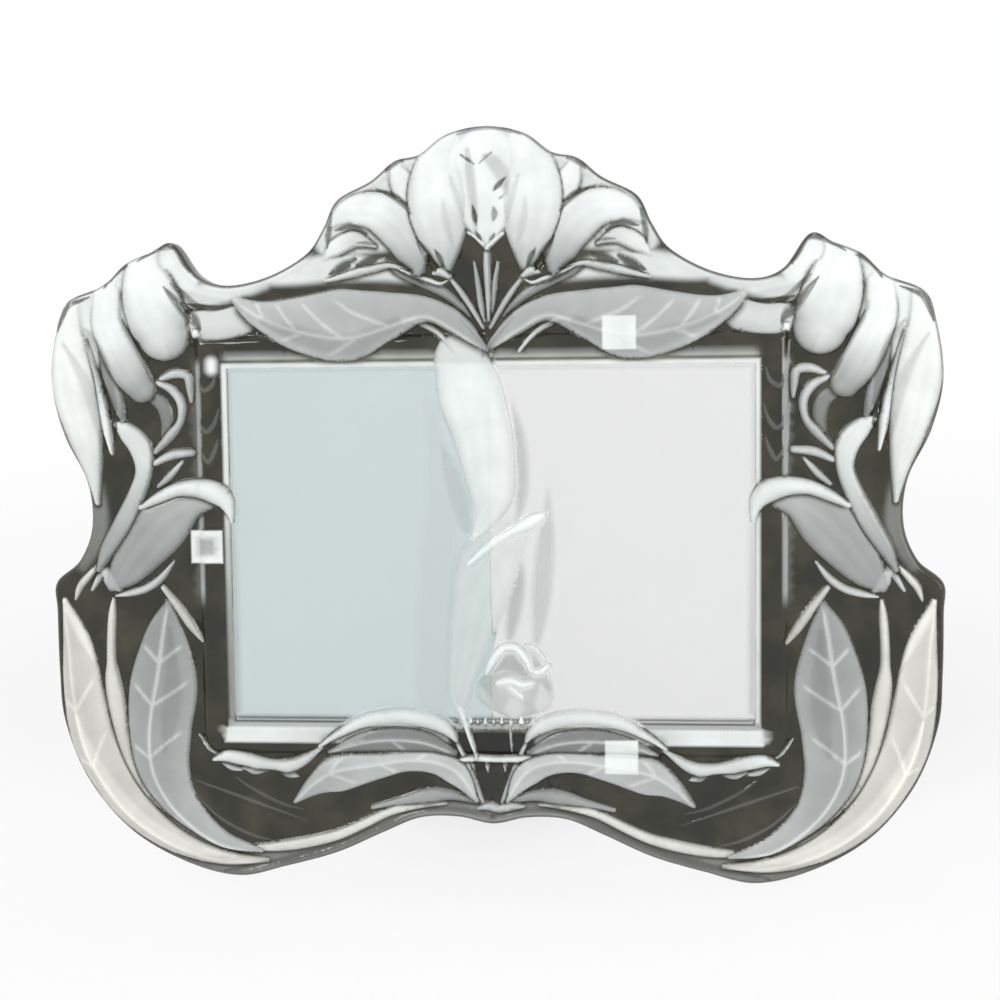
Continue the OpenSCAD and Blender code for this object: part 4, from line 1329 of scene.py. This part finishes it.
class Front:
    """The glass's front surface at given points.

    It holds their height, and the numbers that the material reads: how dense the frosting is, its
    brightness with painted light and shade, the dark tint of the clear glass, which paints the dark
    surroundings seen through it, and how far the frosting leans to cream.
    """

    # The numbers of the back and the sides, and of the window's floor
    shell = {"frost": 0.0, "tone": 0.8, "tint": 1.0, "warm": 0.0}
    floor_tint = 0.0
    # How far a stem rises over the border, how steep a cut is, and the bead along the rim
    stem_lift = 0.6
    cut_wall = 1.6
    rim_rise = 0.55
    rim_bead = (1.7, 0.8)
    # A clip's plate seen through the glass: its frost and shine, and the darker middle of the left
    clip_frost = 0.9
    clip_shine = 0.97
    left_dim = 0.5

    def __init__(self, at: Array) -> None:
        """Starts with the bare plate and its window.

        Args:
            at: rows of across and up.
        """
        self.at = at
        self.gap = np.maximum(np.abs(at[:, 0]) - SIZES.window_half_w,
                              np.abs(at[:, 1] - SIZES.window_up) - SIZES.window_half_h)
        self.border = np.interp(self.gap, [0, SIZES.bevel, 6, 8.8, SIZES.border],
                                [0, 1.1, 1.2, SIZES.border_rise, 0]) * (self.gap > 0)
        # The dark tint, painted darkness of the surroundings, covers all but the window
        self.tint = ease(self.gap, 0.4, 1.4)
        self.warm = np.zeros(len(at))
        self._window(WINDOW_EDGE, 2 * SIZES.window_half_h)

    def _window(self, mark: WindowEdge, window_h: float) -> None:
        """Draws the bead, lines and frosted bands round the window: the bead's white is a painted
        highlight, whiter towards the top, and the bands just inside the edge are painted shade.

        Args:
            mark: where the marks lie.
            window_h: the window's height.
        """
        gap, off = self.gap, np.abs(self.at[:, 0])
        under = SIZES.window_foot - self.at[:, 1]
        # Grows towards the top, where the painted highlight grows and the painted shade fades
        level = ease(-under, mark.pale_above, 0.8 * window_h)
        beside, inside = (under < 0) * (gap < 4), under < -3
        # The bead's frost is a painted highlight, whiter towards the top and on the right
        bead = band(gap, mark.bead) * beside
        # Painted shade on the prints' edges, and the dark streak, also painted shade
        painted_edge_shade = band(gap, mark.painted_edge_shade) * inside
        dark = streak(gap, *mark.dark) * inside * (gap < 4) * (1 - 0.6 * level)
        line = streak(under, *mark.line) * (gap < 0)
        foot = band(under, mark.foot) * (gap < 2)
        sill = band(under, mark.sill) * ease(off, *mark.sill_ends)
        sill *= ease(SIZES.window_half_w + 4 - off, 0, 1.5)
        head = (under < -window_h) * ease(SIZES.window_half_w + 3 - off, 0, 4)
        outer = band(gap, mark.outer) * ease(self.at[:, 1], *mark.outer_foot)
        outer *= 1 - ease(-under, window_h, window_h + 4)
        low, gain = mark.bead_whiteness
        self.frost = np.maximum.reduce([
            bead * np.maximum(low + gain * level, mark.bead_right * (self.at[:, 0] > 0)),
            mark.painted_edge_shade_frost * (1 - level) * painted_edge_shade, mark.dark_frost * dark, mark.line_frost * line,
            mark.foot_frost * foot, mark.outer_frost * outer,
            mark.outer_frost * head * band(gap, mark.head), mark.sill_frost * sill,
        ])
        self.height = self.border + mark.bead_rise * bead
        plate, sill_dim, edge_dim, line_dim, foot_dim = mark.tones
        # The inner edge is darkened as painted shade
        inner = (1 - ease(gap, *mark.dark_edge)) * beside
        self.tone = plate - sill_dim * sill * (1 - ease(off, *mark.sill_shade))
        self.tone -= edge_dim * inner + line_dim * line + foot_dim * foot

    def add(self, blade: Blade, side: int) -> None:
        """Raises an ornament, with the clear line round it.

        Args:
            blade: the ornament.
            side: 1 as drawn, -1 mirrored.
        """
        near = blade.near(self.at, side)
        t, x, reach = blade.locate(self.at[near], side)
        edge = reach - np.abs(x)
        strength = blade.strength(t)
        if not blade.soft:
            # Below the ornament the clear line widens into a painted shadow
            beneath = np.clip(blade.under(self.at[near], side) * strength, 0, 1)
            wide = blade.lip + blade.shadow * beneath
            line = streak(edge, 0.0, wide) * (edge < blade.line_in)
            line *= blade.line_clear * strength
            self.frost[near] *= 1 - line
            self.height[near] -= blade.groove * line
        inner = edge > 0
        near, strength = near[inner], strength[inner]
        rise, cover, shine = blade.shape(t[inner], x[inner], reach[inner])
        if blade.look is Look.STEM:
            rise = rise + self.stem_lift * self.border[near]
        self.height[near] = np.maximum(self.height[near], rise)
        if blade.soft:
            keep = cover > self.frost[near]
            near, cover, shine = near[keep], cover[keep], shine[keep]
            strength = np.ones(len(near))
        lasting = self.frost[near] * (1 - strength)
        share = cover / np.maximum(cover + lasting, 1e-6)
        self.tone[near] = self.tone[near] * (1 - share) + shine * share
        self.frost[near], self.warm[near] = np.maximum(cover, lasting), blade.warm

    def cut(self, blade: Blade, side: int) -> None:
        """Cuts a groove, or greys a fold with painted shade or pales it with a painted highlight.

        Args:
            blade: the groove or fold.
            side: 1 as drawn, -1 mirrored.
        """
        near = blade.near(self.at, side)
        _, x, reach = blade.locate(self.at[near], side)
        mask = smooth(self.cut_wall * (1 - np.abs(x) / reach)) * (np.abs(x) < reach)
        self.height[near] -= blade.rise * mask
        self.frost[near] *= 1 - blade.frost * mask
        # The tone share is painted shade, or a painted highlight where it is minus
        self.tone[near] *= 1 - blade.tone[0] * mask

    def round_rim(self, edge: Array, radius: float, base: float) -> None:
        """Adds the rim's low bead and rounds the rim.

        Args:
            edge: each point's distance to the outline.
            radius: how far in the rounding reaches.
            base: the height at the outline.
        """
        bead = self.rim_rise * streak(edge, *self.rim_bead) * (1 - ease(self.height, 0.4, 1.6))
        turn = np.sqrt(1 - (1 - np.clip(edge / radius, 0, 1)) ** 2)
        self.height = base + (SIZES.plate + (self.height + bead) - base) * turn
        self.frost *= ease(edge, 0.5, 1.3)

    def show_clip(self, across: float, up: float) -> None:
        """Shows a clip's pale plate through the glass.

        Args:
            across: where the plate's middle lies.
            up: its height.
        """
        away = np.maximum(np.abs(self.at[:, 0] - across), np.abs(self.at[:, 1] - up))
        bare = ease(away, *PressedGlass.patch)
        patch = 1 - bare
        shine = self.clip_shine - self.left_dim * (across < 0) * (1 - ease(away, 2.0, 4.0))
        self.tint *= bare
        self.tone = self.tone * bare + shine * patch
        self.frost = self.frost * bare + self.clip_frost * patch


@dataclass
class PointField:
    """Points on the panel that keep clear of one another.

    Args:
        cell: the side of the cells that remember where points lie, in mm.
        margin: how far the cells reach beyond the glass, in mm.
    """

    cell: float = 0.15
    margin: float = 6.0
    rows: list[Array] = field(default_factory=list)

    def __post_init__(self) -> None:
        """Clears the cells."""
        size = [SIZES.glass_w + 2 * self.margin, SIZES.glass_h + 2 * self.margin]
        self.low = np.array([-SIZES.half_w - self.margin, -self.margin])
        self.taken = np.zeros([int(s / self.cell) + 2 for s in size], bool)

    def _cells(self, points: Array) -> Array:
        """The cell of each point."""
        return ((points - self.low) / self.cell).astype(int)

    def keep(self, points: Array) -> None:
        """Adds points just as they are."""
        cells = self._cells(points)
        self.taken[cells[:, 0], cells[:, 1]] = True
        self.rows.append(points)

    def add(self, points: Array, clear: float) -> None:
        """Adds the points that keep clear of those that are there.

        Args:
            points: rows of across and up.
            clear: the least distance in mm.
        """
        cells, limit = self._cells(points), np.array(self.taken.shape) - 1
        reach = int(math.ceil(clear / self.cell))
        free = np.ones(len(points), bool)
        for i in range(-reach, reach + 1):
            for j in range(-reach, reach + 1):
                if math.hypot(i, j) * self.cell <= clear:
                    at = np.clip(cells + (i, j), 0, limit)
                    free &= ~self.taken[at[:, 0], at[:, 1]]
        at = np.clip(cells[free], 0, limit)
        _, first = np.unique(at[:, 0] * self.taken.shape[1] + at[:, 1], return_index=True)
        self.keep(points[free][np.sort(first)])

    def all(self) -> Array:
        """Every point in the order in which it was added."""
        return np.concatenate(self.rows)


def loop_edges(start: int, count: int) -> list[tuple[int, int]]:
    """The edges of a closed loop of points."""
    return [(start + i, start + (i + 1) % count) for i in range(count)]


def triangulate(points: Array, edges: Sequence[tuple[int, int]]) -> tuple[Array, Array]:
    """Lays triangles over points.

    Args:
        points: rows of across and up.
        edges: pairs of points whose edges are kept.

    Returns:
        The points and the triangles.
    """
    found = delaunay_2d_cdt([Vector(p) for p in points.tolist()], edges, [], 0, 1e-6, False)
    return np.array([tuple(v) for v in found[0]]), np.array([tuple(f) for f in found[2]])


@dataclass
class PressedGlass:
    """The glass plate: its outline, relief, window, pocket and frosting.

    Args:
        wardrobe: what dresses it.
        fine: distance between mesh points on the relief, in mm.
        coarse: the same on plain glass.
        edge_step: the same along the outline.
        rounding: radius of the front edge.
        edge_share: height at which the rounding starts, as a share of the plate.
    """

    wardrobe: Wardrobe
    fine: float = 0.79
    coarse: float = 2.4
    edge_step: float = 0.85
    rounding: float = 2.0
    edge_share: float = 0.8

    patch = (5.2, 5.9)
    rim_rows = (0.3, 0.75, 1.3, 1.7, 2.6)
    batch = 4000

    def __post_init__(self) -> None:
        """Works out the outline."""
        scale = np.array([SIZES.half_w, SIZES.glass_h])
        half = np.array(OUTLINE_SHARES) * scale - (0, SIZES.foot_grind)
        full = np.concatenate([half, half[-2:0:-1] * (-1, 1)])
        closed = np.concatenate([full[-3:], full, full[:4]])
        line = spline(closed, 12 * (len(closed) - 1))[36:-36]
        self.outline = even(line, self.edge_step)[:-1]
        self.tree = kdtree.KDTree(len(self.outline))
        for i, (across, up) in enumerate(self.outline):
            self.tree.insert((across, up, 0), i)
        self.tree.balance()
        self.placed, self.cuts = (
            [(blade, side) for blade in blades.values() for side in blade.sides]
            for blades in (BLADES, CUTS))

    def edge_distance(self, at: Array) -> Array:
        """Distance from each point to the outline, in mm.

        Args:
            at: rows of across and up.

        Returns:
            The distances.
        """
        found = [self.tree.find((a, b, 0)) for a, b in at.tolist()]
        nearest, best = np.array([f[1] for f in found]), np.array([f[2] for f in found])
        count = len(self.outline)
        for other in ((nearest + 1) % count, (nearest - 1) % count):
            a, b = self.outline[nearest], self.outline[other]
            s = np.clip(((at - a) * (b - a)).sum(1) / ((b - a) ** 2).sum(1), 0, 1)[:, None]
            best = np.minimum(best, np.linalg.norm(at - a - s * (b - a), axis=1))
        return best

    def inside(self, at: Array) -> Array:
        """Whether each point lies inside the outline.

        Args:
            at: rows of across and up.

        Returns:
            A truth value for each point.
        """
        a, b = self.outline, np.roll(self.outline, -1, axis=0)
        found = []
        for start in range(0, len(at), self.batch):
            p = at[start : start + self.batch]
            spans = (a[:, 1] > p[:, 1:2]) != (b[:, 1] > p[:, 1:2])
            with np.errstate(divide="ignore", invalid="ignore"):
                cross = a[:, 0] + (p[:, 1:2] - a[:, 1]) * (b[:, 0] - a[:, 0]) / (b[:, 1] - a[:, 1])
            found.append((spans & (p[:, :1] < cross)).sum(1) % 2 == 1)
        return np.concatenate(found) if found else np.zeros(0, bool)

    def _within(self, at: Array, clear: float) -> Array:
        """The points inside the outline that keep clear of it.

        Args:
            at: rows of across and up.
            clear: the least distance in mm.

        Returns:
            The rows that are left.
        """
        at = at[self.inside(at)]
        return at[self.edge_distance(at) > clear] if len(at) else at

    def survey(self, at: Array) -> Front:
        """Works out the front surface.

        Args:
            at: rows of across and up.

        Returns:
            The surface with every ornament, cut and clip on it.
        """
        front = Front(at)
        for blade, side in sorted(self.placed, key=lambda item: item[0].rise):
            front.add(blade, side)
        for blade, side in self.cuts:
            front.cut(blade, side)
        front.round_rim(self.edge_distance(at), self.rounding, SIZES.plate * self.edge_share)
        for place in Fittings.clip_places():
            front.show_clip(*place)
        return front

    def points(self) -> Array:
        """Chooses the mesh's points on the front: the outline first, then rows, then the fill."""
        spots = PointField()
        spots.keep(self.outline)
        inward = normals(np.concatenate([self.outline[-1:], self.outline, self.outline[:1]]))[1:-1]
        if not self.inside(self.outline[:1] + inward[:1] * 0.5)[0]:
            inward = -inward
        for step in self.rim_rows:
            moved = self.outline + inward * step
            spots.add(moved[self.edge_distance(moved) > step - 0.06], 0.2)
        boxes = [(box_corners(SIZES.window_half_w + gap, SIZES.window_foot - gap,
                              SIZES.window_head + gap), 1.2) for gap in WINDOW_EDGE.rows]
        boxes += [(box_corners(half, up - half, up + half, across), 0.8)
                  for across, up in Fittings.clip_places() for half in self.patch]
        for corners, step in boxes:
            spots.add(even(np.array([*corners, corners[0]]), step), 0.2)
        ordered = sorted(self.placed, key=lambda item: -item[0].rise)
        for blade, side in [*self.cuts, *ordered]:
            for row in blade.rows(side, self.fine * 0.85):
                spots.add(self._within(row, 0.3), 0.24)
        spots.add(self._on_relief(self._grid(self.fine)), 0.55 * self.fine)
        spots.add(self._grid(self.coarse), 0.55 * self.coarse)
        return spots.all()

    def _grid(self, step: float) -> Array:
        """A grid of staggered rows inside the outline.

        Args:
            step: the distance between points in mm.

        Returns:
            Rows of across and up.
        """
        rows = []
        for i, up in enumerate(np.arange(-1, SIZES.glass_h, step * 0.866)):
            across = np.arange(-SIZES.half_w + (i % 2) * step / 2, SIZES.half_w, step)
            rows.append(np.stack([across, np.full(len(across), up)], 1))
        return self._within(np.concatenate(rows), 0.4 * step)

    def _on_relief(self, at: Array) -> Array:
        """The points that lie on an ornament or close beside it.

        Args:
            at: rows of across and up.

        Returns:
            The rows that are left.
        """
        found = np.zeros(len(at), bool)
        for blade, side in self.placed:
            near = blade.near(at, side)
            _, x, reach = blade.locate(at[near], side)
            found[near[np.abs(x) < reach + 0.6]] = True
        return at[found]

    def build(self) -> bpy.types.Object:
        """Makes the glass as one closed mesh."""
        rim = len(self.outline)
        at, front = triangulate(self.points(), loop_edges(0, rim))
        front = self._kept(at, front, rim)
        surface = self.survey(at)
        shell, faces = self._shell(at, surface.height, front, rim)
        points = LEANING.place(shell)
        points[:, 2] = np.maximum(points[:, 2], 0.0)
        glass = piece_from("glass", points, faces, Finish.PRESSED_GLASS, self.wardrobe, None)
        for key, fill in Front.shell.items():
            values = np.full(len(shell), fill, np.float32)
            values[:len(at)] = getattr(surface, key)
            if key == "tint":
                values[-4:] = Front.floor_tint
            layer = glass.data.attributes.new(key, "FLOAT", "POINT")
            layer.data.foreach_set("value", values)
        self._crease(glass, len(at))
        LOG.info("glass: %d faces", len(glass.data.polygons))
        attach(glass, "frame")
        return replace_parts(glass, "glass_frame")

    def _kept(self, at: Array, faces: Array, rim: int) -> Array:
        """Leaves out the triangles outside the outline.

        Args:
            at: the front's points.
            faces: its triangles.
            rim: how many points lie on the outline; they come first.

        Returns:
            The triangles that stay.
        """
        doubtful = (faces < rim).all(1)
        keep = np.ones(len(faces), bool)
        keep[doubtful] = self.inside(at[faces[doubtful]].mean(1))
        return faces[keep]

    def _back(self, flat: Array, rim: int) -> Array:
        """Triangles of the back, without the pocket's opening.

        Args:
            flat: the outline's points and then the pocket's corners.
            rim: how many points lie on the outline.

        Returns:
            The triangles, facing away from the front.
        """
        _, back = triangulate(flat, loop_edges(0, rim) + loop_edges(rim, 4))
        middles = flat[back].mean(1)
        hole = (np.abs(middles[:, 0]) < SIZES.pocket_half_w) & (
            np.abs(middles[:, 1] - SIZES.window_up) < SIZES.pocket_half_h)
        back = back[self.inside(middles) & ~hole]
        turn = np.cross(flat[back[:, 1]] - flat[back[:, 0]], flat[back[:, 2]] - flat[back[:, 0]])
        return np.where(turn[:, None] > 0, back[:, ::-1], back)

    def _shell(
        self, at: Array, height: Array, front: Array, rim: int
    ) -> tuple[Array, list[tuple[int, ...]]]:
        """Closes the front with side walls, a back and the pocket.

        Args:
            at: the front's points.
            height: their heights above the back plane.
            front: the front's triangles.
            rim: how many points lie on the outline; they come first.

        Returns:
            All points in mm, and all faces.
        """
        count = len(at)
        pocket = np.array(box_corners(SIZES.pocket_half_w, SIZES.window_up - SIZES.pocket_half_h,
                                      SIZES.window_up + SIZES.pocket_half_h))
        flat = np.concatenate([at[:rim], pocket])
        shell = np.concatenate([np.stack([at[:, 0], -height, at[:, 1]], 1),
                                ring(flat, -SIZES.back_air), ring(pocket, -SIZES.pane)])
        a, b, c = at[front[0]]
        if np.cross(b - a, c - a) < 0:
            front = front[:, ::-1]
        back = self._back(flat, rim) + count
        faces = [tuple(f) for f in front.tolist()] + [tuple(f) for f in back.tolist()]
        area = np.cross(self.outline, np.roll(self.outline, -1, axis=0)).sum()
        for i, j in loop_edges(0, rim):
            wall = (i, j, count + j, count + i)
            faces.append(wall[::-1] if area > 0 else wall)
        base, floor = count + rim, count + rim + 4
        faces += [(base + i, floor + i, floor + j, base + j) for i, j in loop_edges(0, 4)]
        faces.append((floor + 3, floor + 2, floor + 1, floor))
        return shell, faces

    @staticmethod
    def _crease(glass: bpy.types.Object, count: int) -> None:
        """Keeps the back, the pocket and their edges crisp and the front smooth.

        Args:
            glass: the glass.
            count: how many points its front has; they come first.
        """
        mesh = glass.data
        ends = np.zeros(len(mesh.edges) * 2, np.int32)
        mesh.edges.foreach_get("vertices", ends)
        layers = mesh.attributes
        layer = layers.get("sharp_edge") or layers.new("sharp_edge", "BOOLEAN", "EDGE")
        layer.data.foreach_set("value", (ends.reshape(-1, 2) >= count).all(1))


# Pieces behind the glass


@dataclass(frozen=True)
class Tray:
    """A cover wrapped over a board's back and edges, with soft edges at its back.

    Args:
        loop: gives its outline, drawn in by a distance.
        wall: its thickness.
        front: depth of its rim.
        back: depth of its closed side.
        soft: radius of the soft edges.
    """

    loop: Callable[[float], Array]
    wall: float
    front: float
    back: float
    soft: float

    def mesh(self) -> tuple[Array, list[tuple[int, ...]]]:
        """The points and the faces."""
        rings = [ring(self.loop(self.wall), self.back - self.wall),
                 ring(self.loop(self.wall), self.front), ring(self.loop(0.0), self.front)]
        for angle in np.linspace(0, math.pi / 2, 6):
            inset, drop = self.soft * (1 - math.cos(angle)), self.soft * (1 - math.sin(angle))
            rings.append(ring(self.loop(inset), self.back - drop))
        return loft(rings)


@dataclass
class Backing:
    """Prints, card, board and its velvet cover."""

    wardrobe: Wardrobe
    corner: float = 1.2
    soft: float = 0.55

    def dress_nodes(self) -> None:
        """Gives the carried-over nodes their finishes."""
        finishes = {
            "photo_left": Finish.PRINT_LEFT, "photo_right": Finish.PRINT_RIGHT,
            "filler_card": Finish.GREY_CARD, "board_lining": Finish.LINING_PAPER,
            "back_board": Finish.BROWN_BOARD,
        }
        for node, finish in finishes.items():
            self.wardrobe.dress(frame["nodes"][node], finish)

    def cover(self) -> bpy.types.Object:
        """Velvet cover: a shallow tray that is wrapped over the board's back and edges."""
        half_w = SIZES.pocket_half_w - SIZES.board_play
        half_h = SIZES.pocket_half_h - SIZES.board_play

        def loop(inset: float) -> Array:
            """The cover's outline, drawn in. Its inner corners are half as round."""
            radius = self.corner / (2 if inset == SIZES.cover else 1)
            return rounded(box_corners(half_w - inset, SIZES.window_up - half_h + inset,
                                       SIZES.window_up + half_h - inset), radius)

        tray = Tray(loop, SIZES.cover, SIZES.board_front, SIZES.stack, self.soft)
        points, faces = tray.mesh()
        cover = piece_from("velvet_cover", LEANING.place(points), faces, Finish.BLACK_VELVET,
                           self.wardrobe)
        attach(cover, "frame")
        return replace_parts(cover, "board_cover")


@dataclass
class Strut:
    """The strut's board, lining and velvet cover."""

    wardrobe: Wardrobe
    top_w: float = 44.0
    foot_w: float = 58.0
    top: float = -3.2
    foot: float = -149.53
    rear: float = 1.2
    thickness: float = 2.9
    wall: float = 0.5
    corner: float = 5.0
    soft: float = 0.5

    def build(self) -> bpy.types.Object:
        """Velvet cover with soft edges, cut level with the table."""

        def loop(inset: float) -> Array:
            """The strut's outline, drawn in."""
            half_t, half_f = self.top_w / 2 - inset, self.foot_w / 2 - inset
            corners = [(-half_f, self.foot + inset), (half_f, self.foot + inset),
                       (half_t, self.top - inset), (-half_t, self.top - inset)]
            return rounded(corners, self.corner - inset, 8)

        tray = Tray(loop, self.wall, self.rear - self.thickness, self.rear, self.soft)
        points, faces = tray.mesh()
        placed = STRUTTED.place(points)
        placed[:, 2] = np.maximum(placed[:, 2], 0.0)
        cover = piece_from("strut_velvet", placed, faces, Finish.BLACK_VELVET, self.wardrobe)
        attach(cover, "strut")
        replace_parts(cover, "strut_cover")
        self.wardrobe.dress(frame["nodes"]["strut_board"], Finish.BROWN_BOARD)
        self.wardrobe.dress(frame["nodes"]["strut_lining"], Finish.LINING_PAPER)
        return cover


@dataclass
class Rivets:
    """A set of domed rivets, each with a flange inside the board.

    Args:
        wardrobe: what dresses them.
        name: the piece's name.
        node: the node that it stands for.
        body: the body that it rides on.
        stance: how the rivets stand.
        places: across and up of each rivet.
        start: depth of the flange.
        seat: depth at which the head sits.
    """

    wardrobe: Wardrobe
    name: str
    node: str
    body: str
    stance: Stance
    places: Sequence[Share]
    start: float
    seat: float
    shank: float = 1.2
    flange: float = 2.34
    flange_h: float = 0.45
    head: float = 2.6
    head_h: float = 0.9
    lip: float = 0.12

    def profile(self) -> list[Share]:
        """Radius and depth from the flange to the top of the dome."""
        start, seat = self.start, self.seat
        base = [(self.flange, start), (self.flange, start + self.flange_h)] if self.flange else []
        low = start + (self.flange_h if self.flange else 0)
        line = [*base, (self.shank, low + 0.01), (self.shank, seat), (self.head * 0.97, seat),
                (self.head, seat + self.lip)]
        for angle in np.linspace(0.25, 0.97, 7) * math.pi / 2:
            line.append((self.head * math.cos(angle) ** 0.7,
                         seat + self.lip + (self.head_h - self.lip) * math.sin(angle)))
        return line

    def build(self) -> bpy.types.Object:
        """Makes all the rivets as one object of separate solids."""
        points, faces = [], []
        for place in self.places:
            rings, these = loft(turned(self.profile(), place))
            shift = sum(len(p) for p in points)
            points.append(rings)
            faces += [tuple(i + shift for i in face) for face in these]
        made = piece_from(self.name, self.stance.place(np.concatenate(points)), faces,
                          Finish.RIVET_STEEL, self.wardrobe, 50.0)
        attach(made, self.body)
        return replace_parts(made, self.node)


@dataclass
class Fittings:
    """Hinge, clips and rivets."""

    wardrobe: Wardrobe
    bevel: float = 0.14
    hinge_w: float = 40.0
    fixed_leaf_h: float = 22.0
    moving_leaf_h: float = 30.0

    @staticmethod
    def clip_places() -> list[Share]:
        """Across and up of each clip's pivot."""
        reach = SIZES.pocket_half_h + SIZES.clip_away
        left = -SIZES.pocket_half_w - SIZES.clip_away
        return [(left, SIZES.window_up), (SIZES.clip_across, SIZES.window_up + reach),
                (SIZES.clip_across, SIZES.window_up - reach)]

    def soften(self, node: str, finish: Finish) -> None:
        """Dresses a carried-over node and eases its edges.

        Args:
            node: the node's name.
            finish: its finish.
        """
        piece = frame["nodes"][node]
        self.wardrobe.dress(piece, finish)
        weld = piece.modifiers.new("Weld", "WELD")
        weld.merge_threshold = 1e-6
        bevel = piece.modifiers.new("Bevel", "BEVEL")
        bevel.width, bevel.segments = self.bevel / 1000, 2
        bevel.limit_method, bevel.angle_limit = "ANGLE", math.radians(40)

    def build(self) -> None:
        """Dresses the sheet-metal nodes and makes the rivets."""
        finishes = {
            "hinge_fixed_leaf": Finish.HINGE_STEEL, "hinge_moving_leaf": Finish.HINGE_STEEL,
            "hinge_pin": Finish.PIN_STEEL, "clip_bases": Finish.CLIP_STEEL,
            "clip_pads": Finish.PAD_FOAM, "clip_tab_left": Finish.CLIP_STEEL,
            "clip_tab_top": Finish.CLIP_STEEL, "clip_tab_bottom": Finish.CLIP_STEEL,
        }
        for node, finish in finishes.items():
            self.soften(node, finish)
        board = [(side * 0.35 * self.hinge_w, SIZES.pin_up + row * self.fixed_leaf_h)
                 for row in (0.32, 0.77) for side in (-1, 1)]
        strut = [(side * 0.25 * self.hinge_w, -row * self.moving_leaf_h)
                 for row in (0.3, 0.8) for side in (-1, 1)]
        for rivets in (
            Rivets(self.wardrobe, "leaf_rivets", "board_rivets", "frame", LEANING, board,
                   SIZES.board_front, SIZES.stack + 0.8),
            Rivets(self.wardrobe, "strut_leaf_rivets", "strut_rivets", "strut", STRUTTED, strut,
                   -1.7, 2.0),
            Rivets(self.wardrobe, "clip_pivots", "clip_rivets", "frame", LEANING,
                   self.clip_places(), 0.8, 2.6, shank=1.5, flange=0.0, head=2.9, head_h=0.8),
        ):
            rivets.build()


# Studio


@dataclass(frozen=True)
class Lamp:
    """A soft lamp."""

    name: str
    place: Share
    size: float
    power: float
    aim: Share = (0.0, 0.0, 0.12)

    def hang(self) -> None:
        """Adds the lamp, turned to the part."""
        light = bpy.data.lights.new(self.name, "AREA")
        light.shape, light.size, light.energy = "SQUARE", self.size, self.power
        lamp = put(self.name, light)
        lamp.location = self.place
        way = Vector(self.aim) - lamp.location
        lamp.rotation_euler = way.to_track_quat("-Z", "Y").to_euler()


@dataclass
class Studio:
    """Pale floor, soft light and the camera."""

    floor_half: float = 6.0
    lamps: tuple[Lamp, ...] = (
        Lamp("key", (-0.75, -0.85, 1.2), 0.7, 12.0),
        Lamp("fill", (0.75, -0.55, 0.5), 0.5, 3.6),
        Lamp("top", (0.1, 0.5, 1.5), 0.8, 4.5),
    )
    ambient: float = 0.32
    camera_place: Share = (0.06866, -0.64292, 0.34424)
    camera_turn: Share = (70.752, 2.057, 5.421)
    lens: float = 72.0
    shift: Share = (0.0083, 0.0147)

    def floor(self) -> bpy.types.Object:
        """A pale floor that fades into the white background."""
        half = self.floor_half
        mesh = bpy.data.meshes.new("floor")
        corners = [(-half, -half, 0), (half, -half, 0), (half, half, 0), (-half, half, 0)]
        mesh.from_pydata(corners, [], [(0, 1, 2, 3)])
        floor = put("floor", mesh)
        r = Recipe("pale_floor")
        where = r.node("ShaderNodeTexCoord", output="Object")
        away = r.node("ShaderNodeVectorMath", {"operation": "LENGTH"}, {0: where}, output="Value")
        far = ((away - 0.22) / 0.35).clipped()
        pale = r.surface(Base_Color=r.blend(r.noise(60.0, 3.0), grey(0.94), grey(0.97)),
                         Roughness=0.8, Specular_IOR_Level=0.1)
        white = r.node("ShaderNodeEmission", inputs={"Color": grey(1.0), "Strength": 1.0})
        share = self.seen(r) * (0.7 + 0.3 * far)
        floor.data.materials.append(r.done(r.mix(share, pale, white)))
        return floor

    @staticmethod
    def seen(recipe: Recipe) -> Value:
        """1 for rays from the camera, from reflections and through glass."""
        rays = [recipe.node("ShaderNodeLightPath", output=name)
                for name in ("Is Camera Ray", "Is Glossy Ray", "Is Transmission Ray")]
        return rays[0].at_least(rays[1]).at_least(rays[2])

    def world(self) -> None:
        """White to look at, and a soft ambient light."""
        world = bpy.data.worlds.new("studio")
        world.use_nodes = True
        bpy.context.scene.world = world
        r = Recipe("studio", world.node_tree)
        bounced = r.node("ShaderNodeLightPath", output="Diffuse Depth").at_most(1.0)
        strength = self.seen(r) * (1.0 - bounced) * (1.0 - self.ambient) + self.ambient
        sky = r.node("ShaderNodeBackground", inputs={"Color": grey(1.0), "Strength": strength})
        r.node("ShaderNodeOutputWorld", inputs={"Surface": sky})

    def camera(self) -> None:
        """The camera at the photograph's viewing angle."""
        data = bpy.data.cameras.new("camera")
        data.lens, data.sensor_width = self.lens, 36.0
        data.shift_x, data.shift_y = self.shift
        data.clip_start, data.clip_end = 0.01, 50.0
        camera = put("camera", data)
        camera.location = self.camera_place
        camera.rotation_euler = [math.radians(angle) for angle in self.camera_turn]
        bpy.context.scene.camera = camera

    def build(self) -> None:
        """Sets up the whole studio."""
        self.floor()
        self.world()
        for lamp in self.lamps:
            lamp.hang()
        self.camera()
        bpy.context.scene.view_settings.view_transform = "Standard"


def main() -> None:
    """Builds the part's looks and the studio."""
    logging.basicConfig(level=logging.INFO, format="%(name)s: %(message)s")
    wardrobe = Wardrobe()
    PressedGlass(wardrobe).build()
    backing = Backing(wardrobe)
    backing.dress_nodes()
    backing.cover()
    Strut(wardrobe).build()
    Fittings(wardrobe).build()
    Studio().build()


if __name__ == "__main__":
    main()
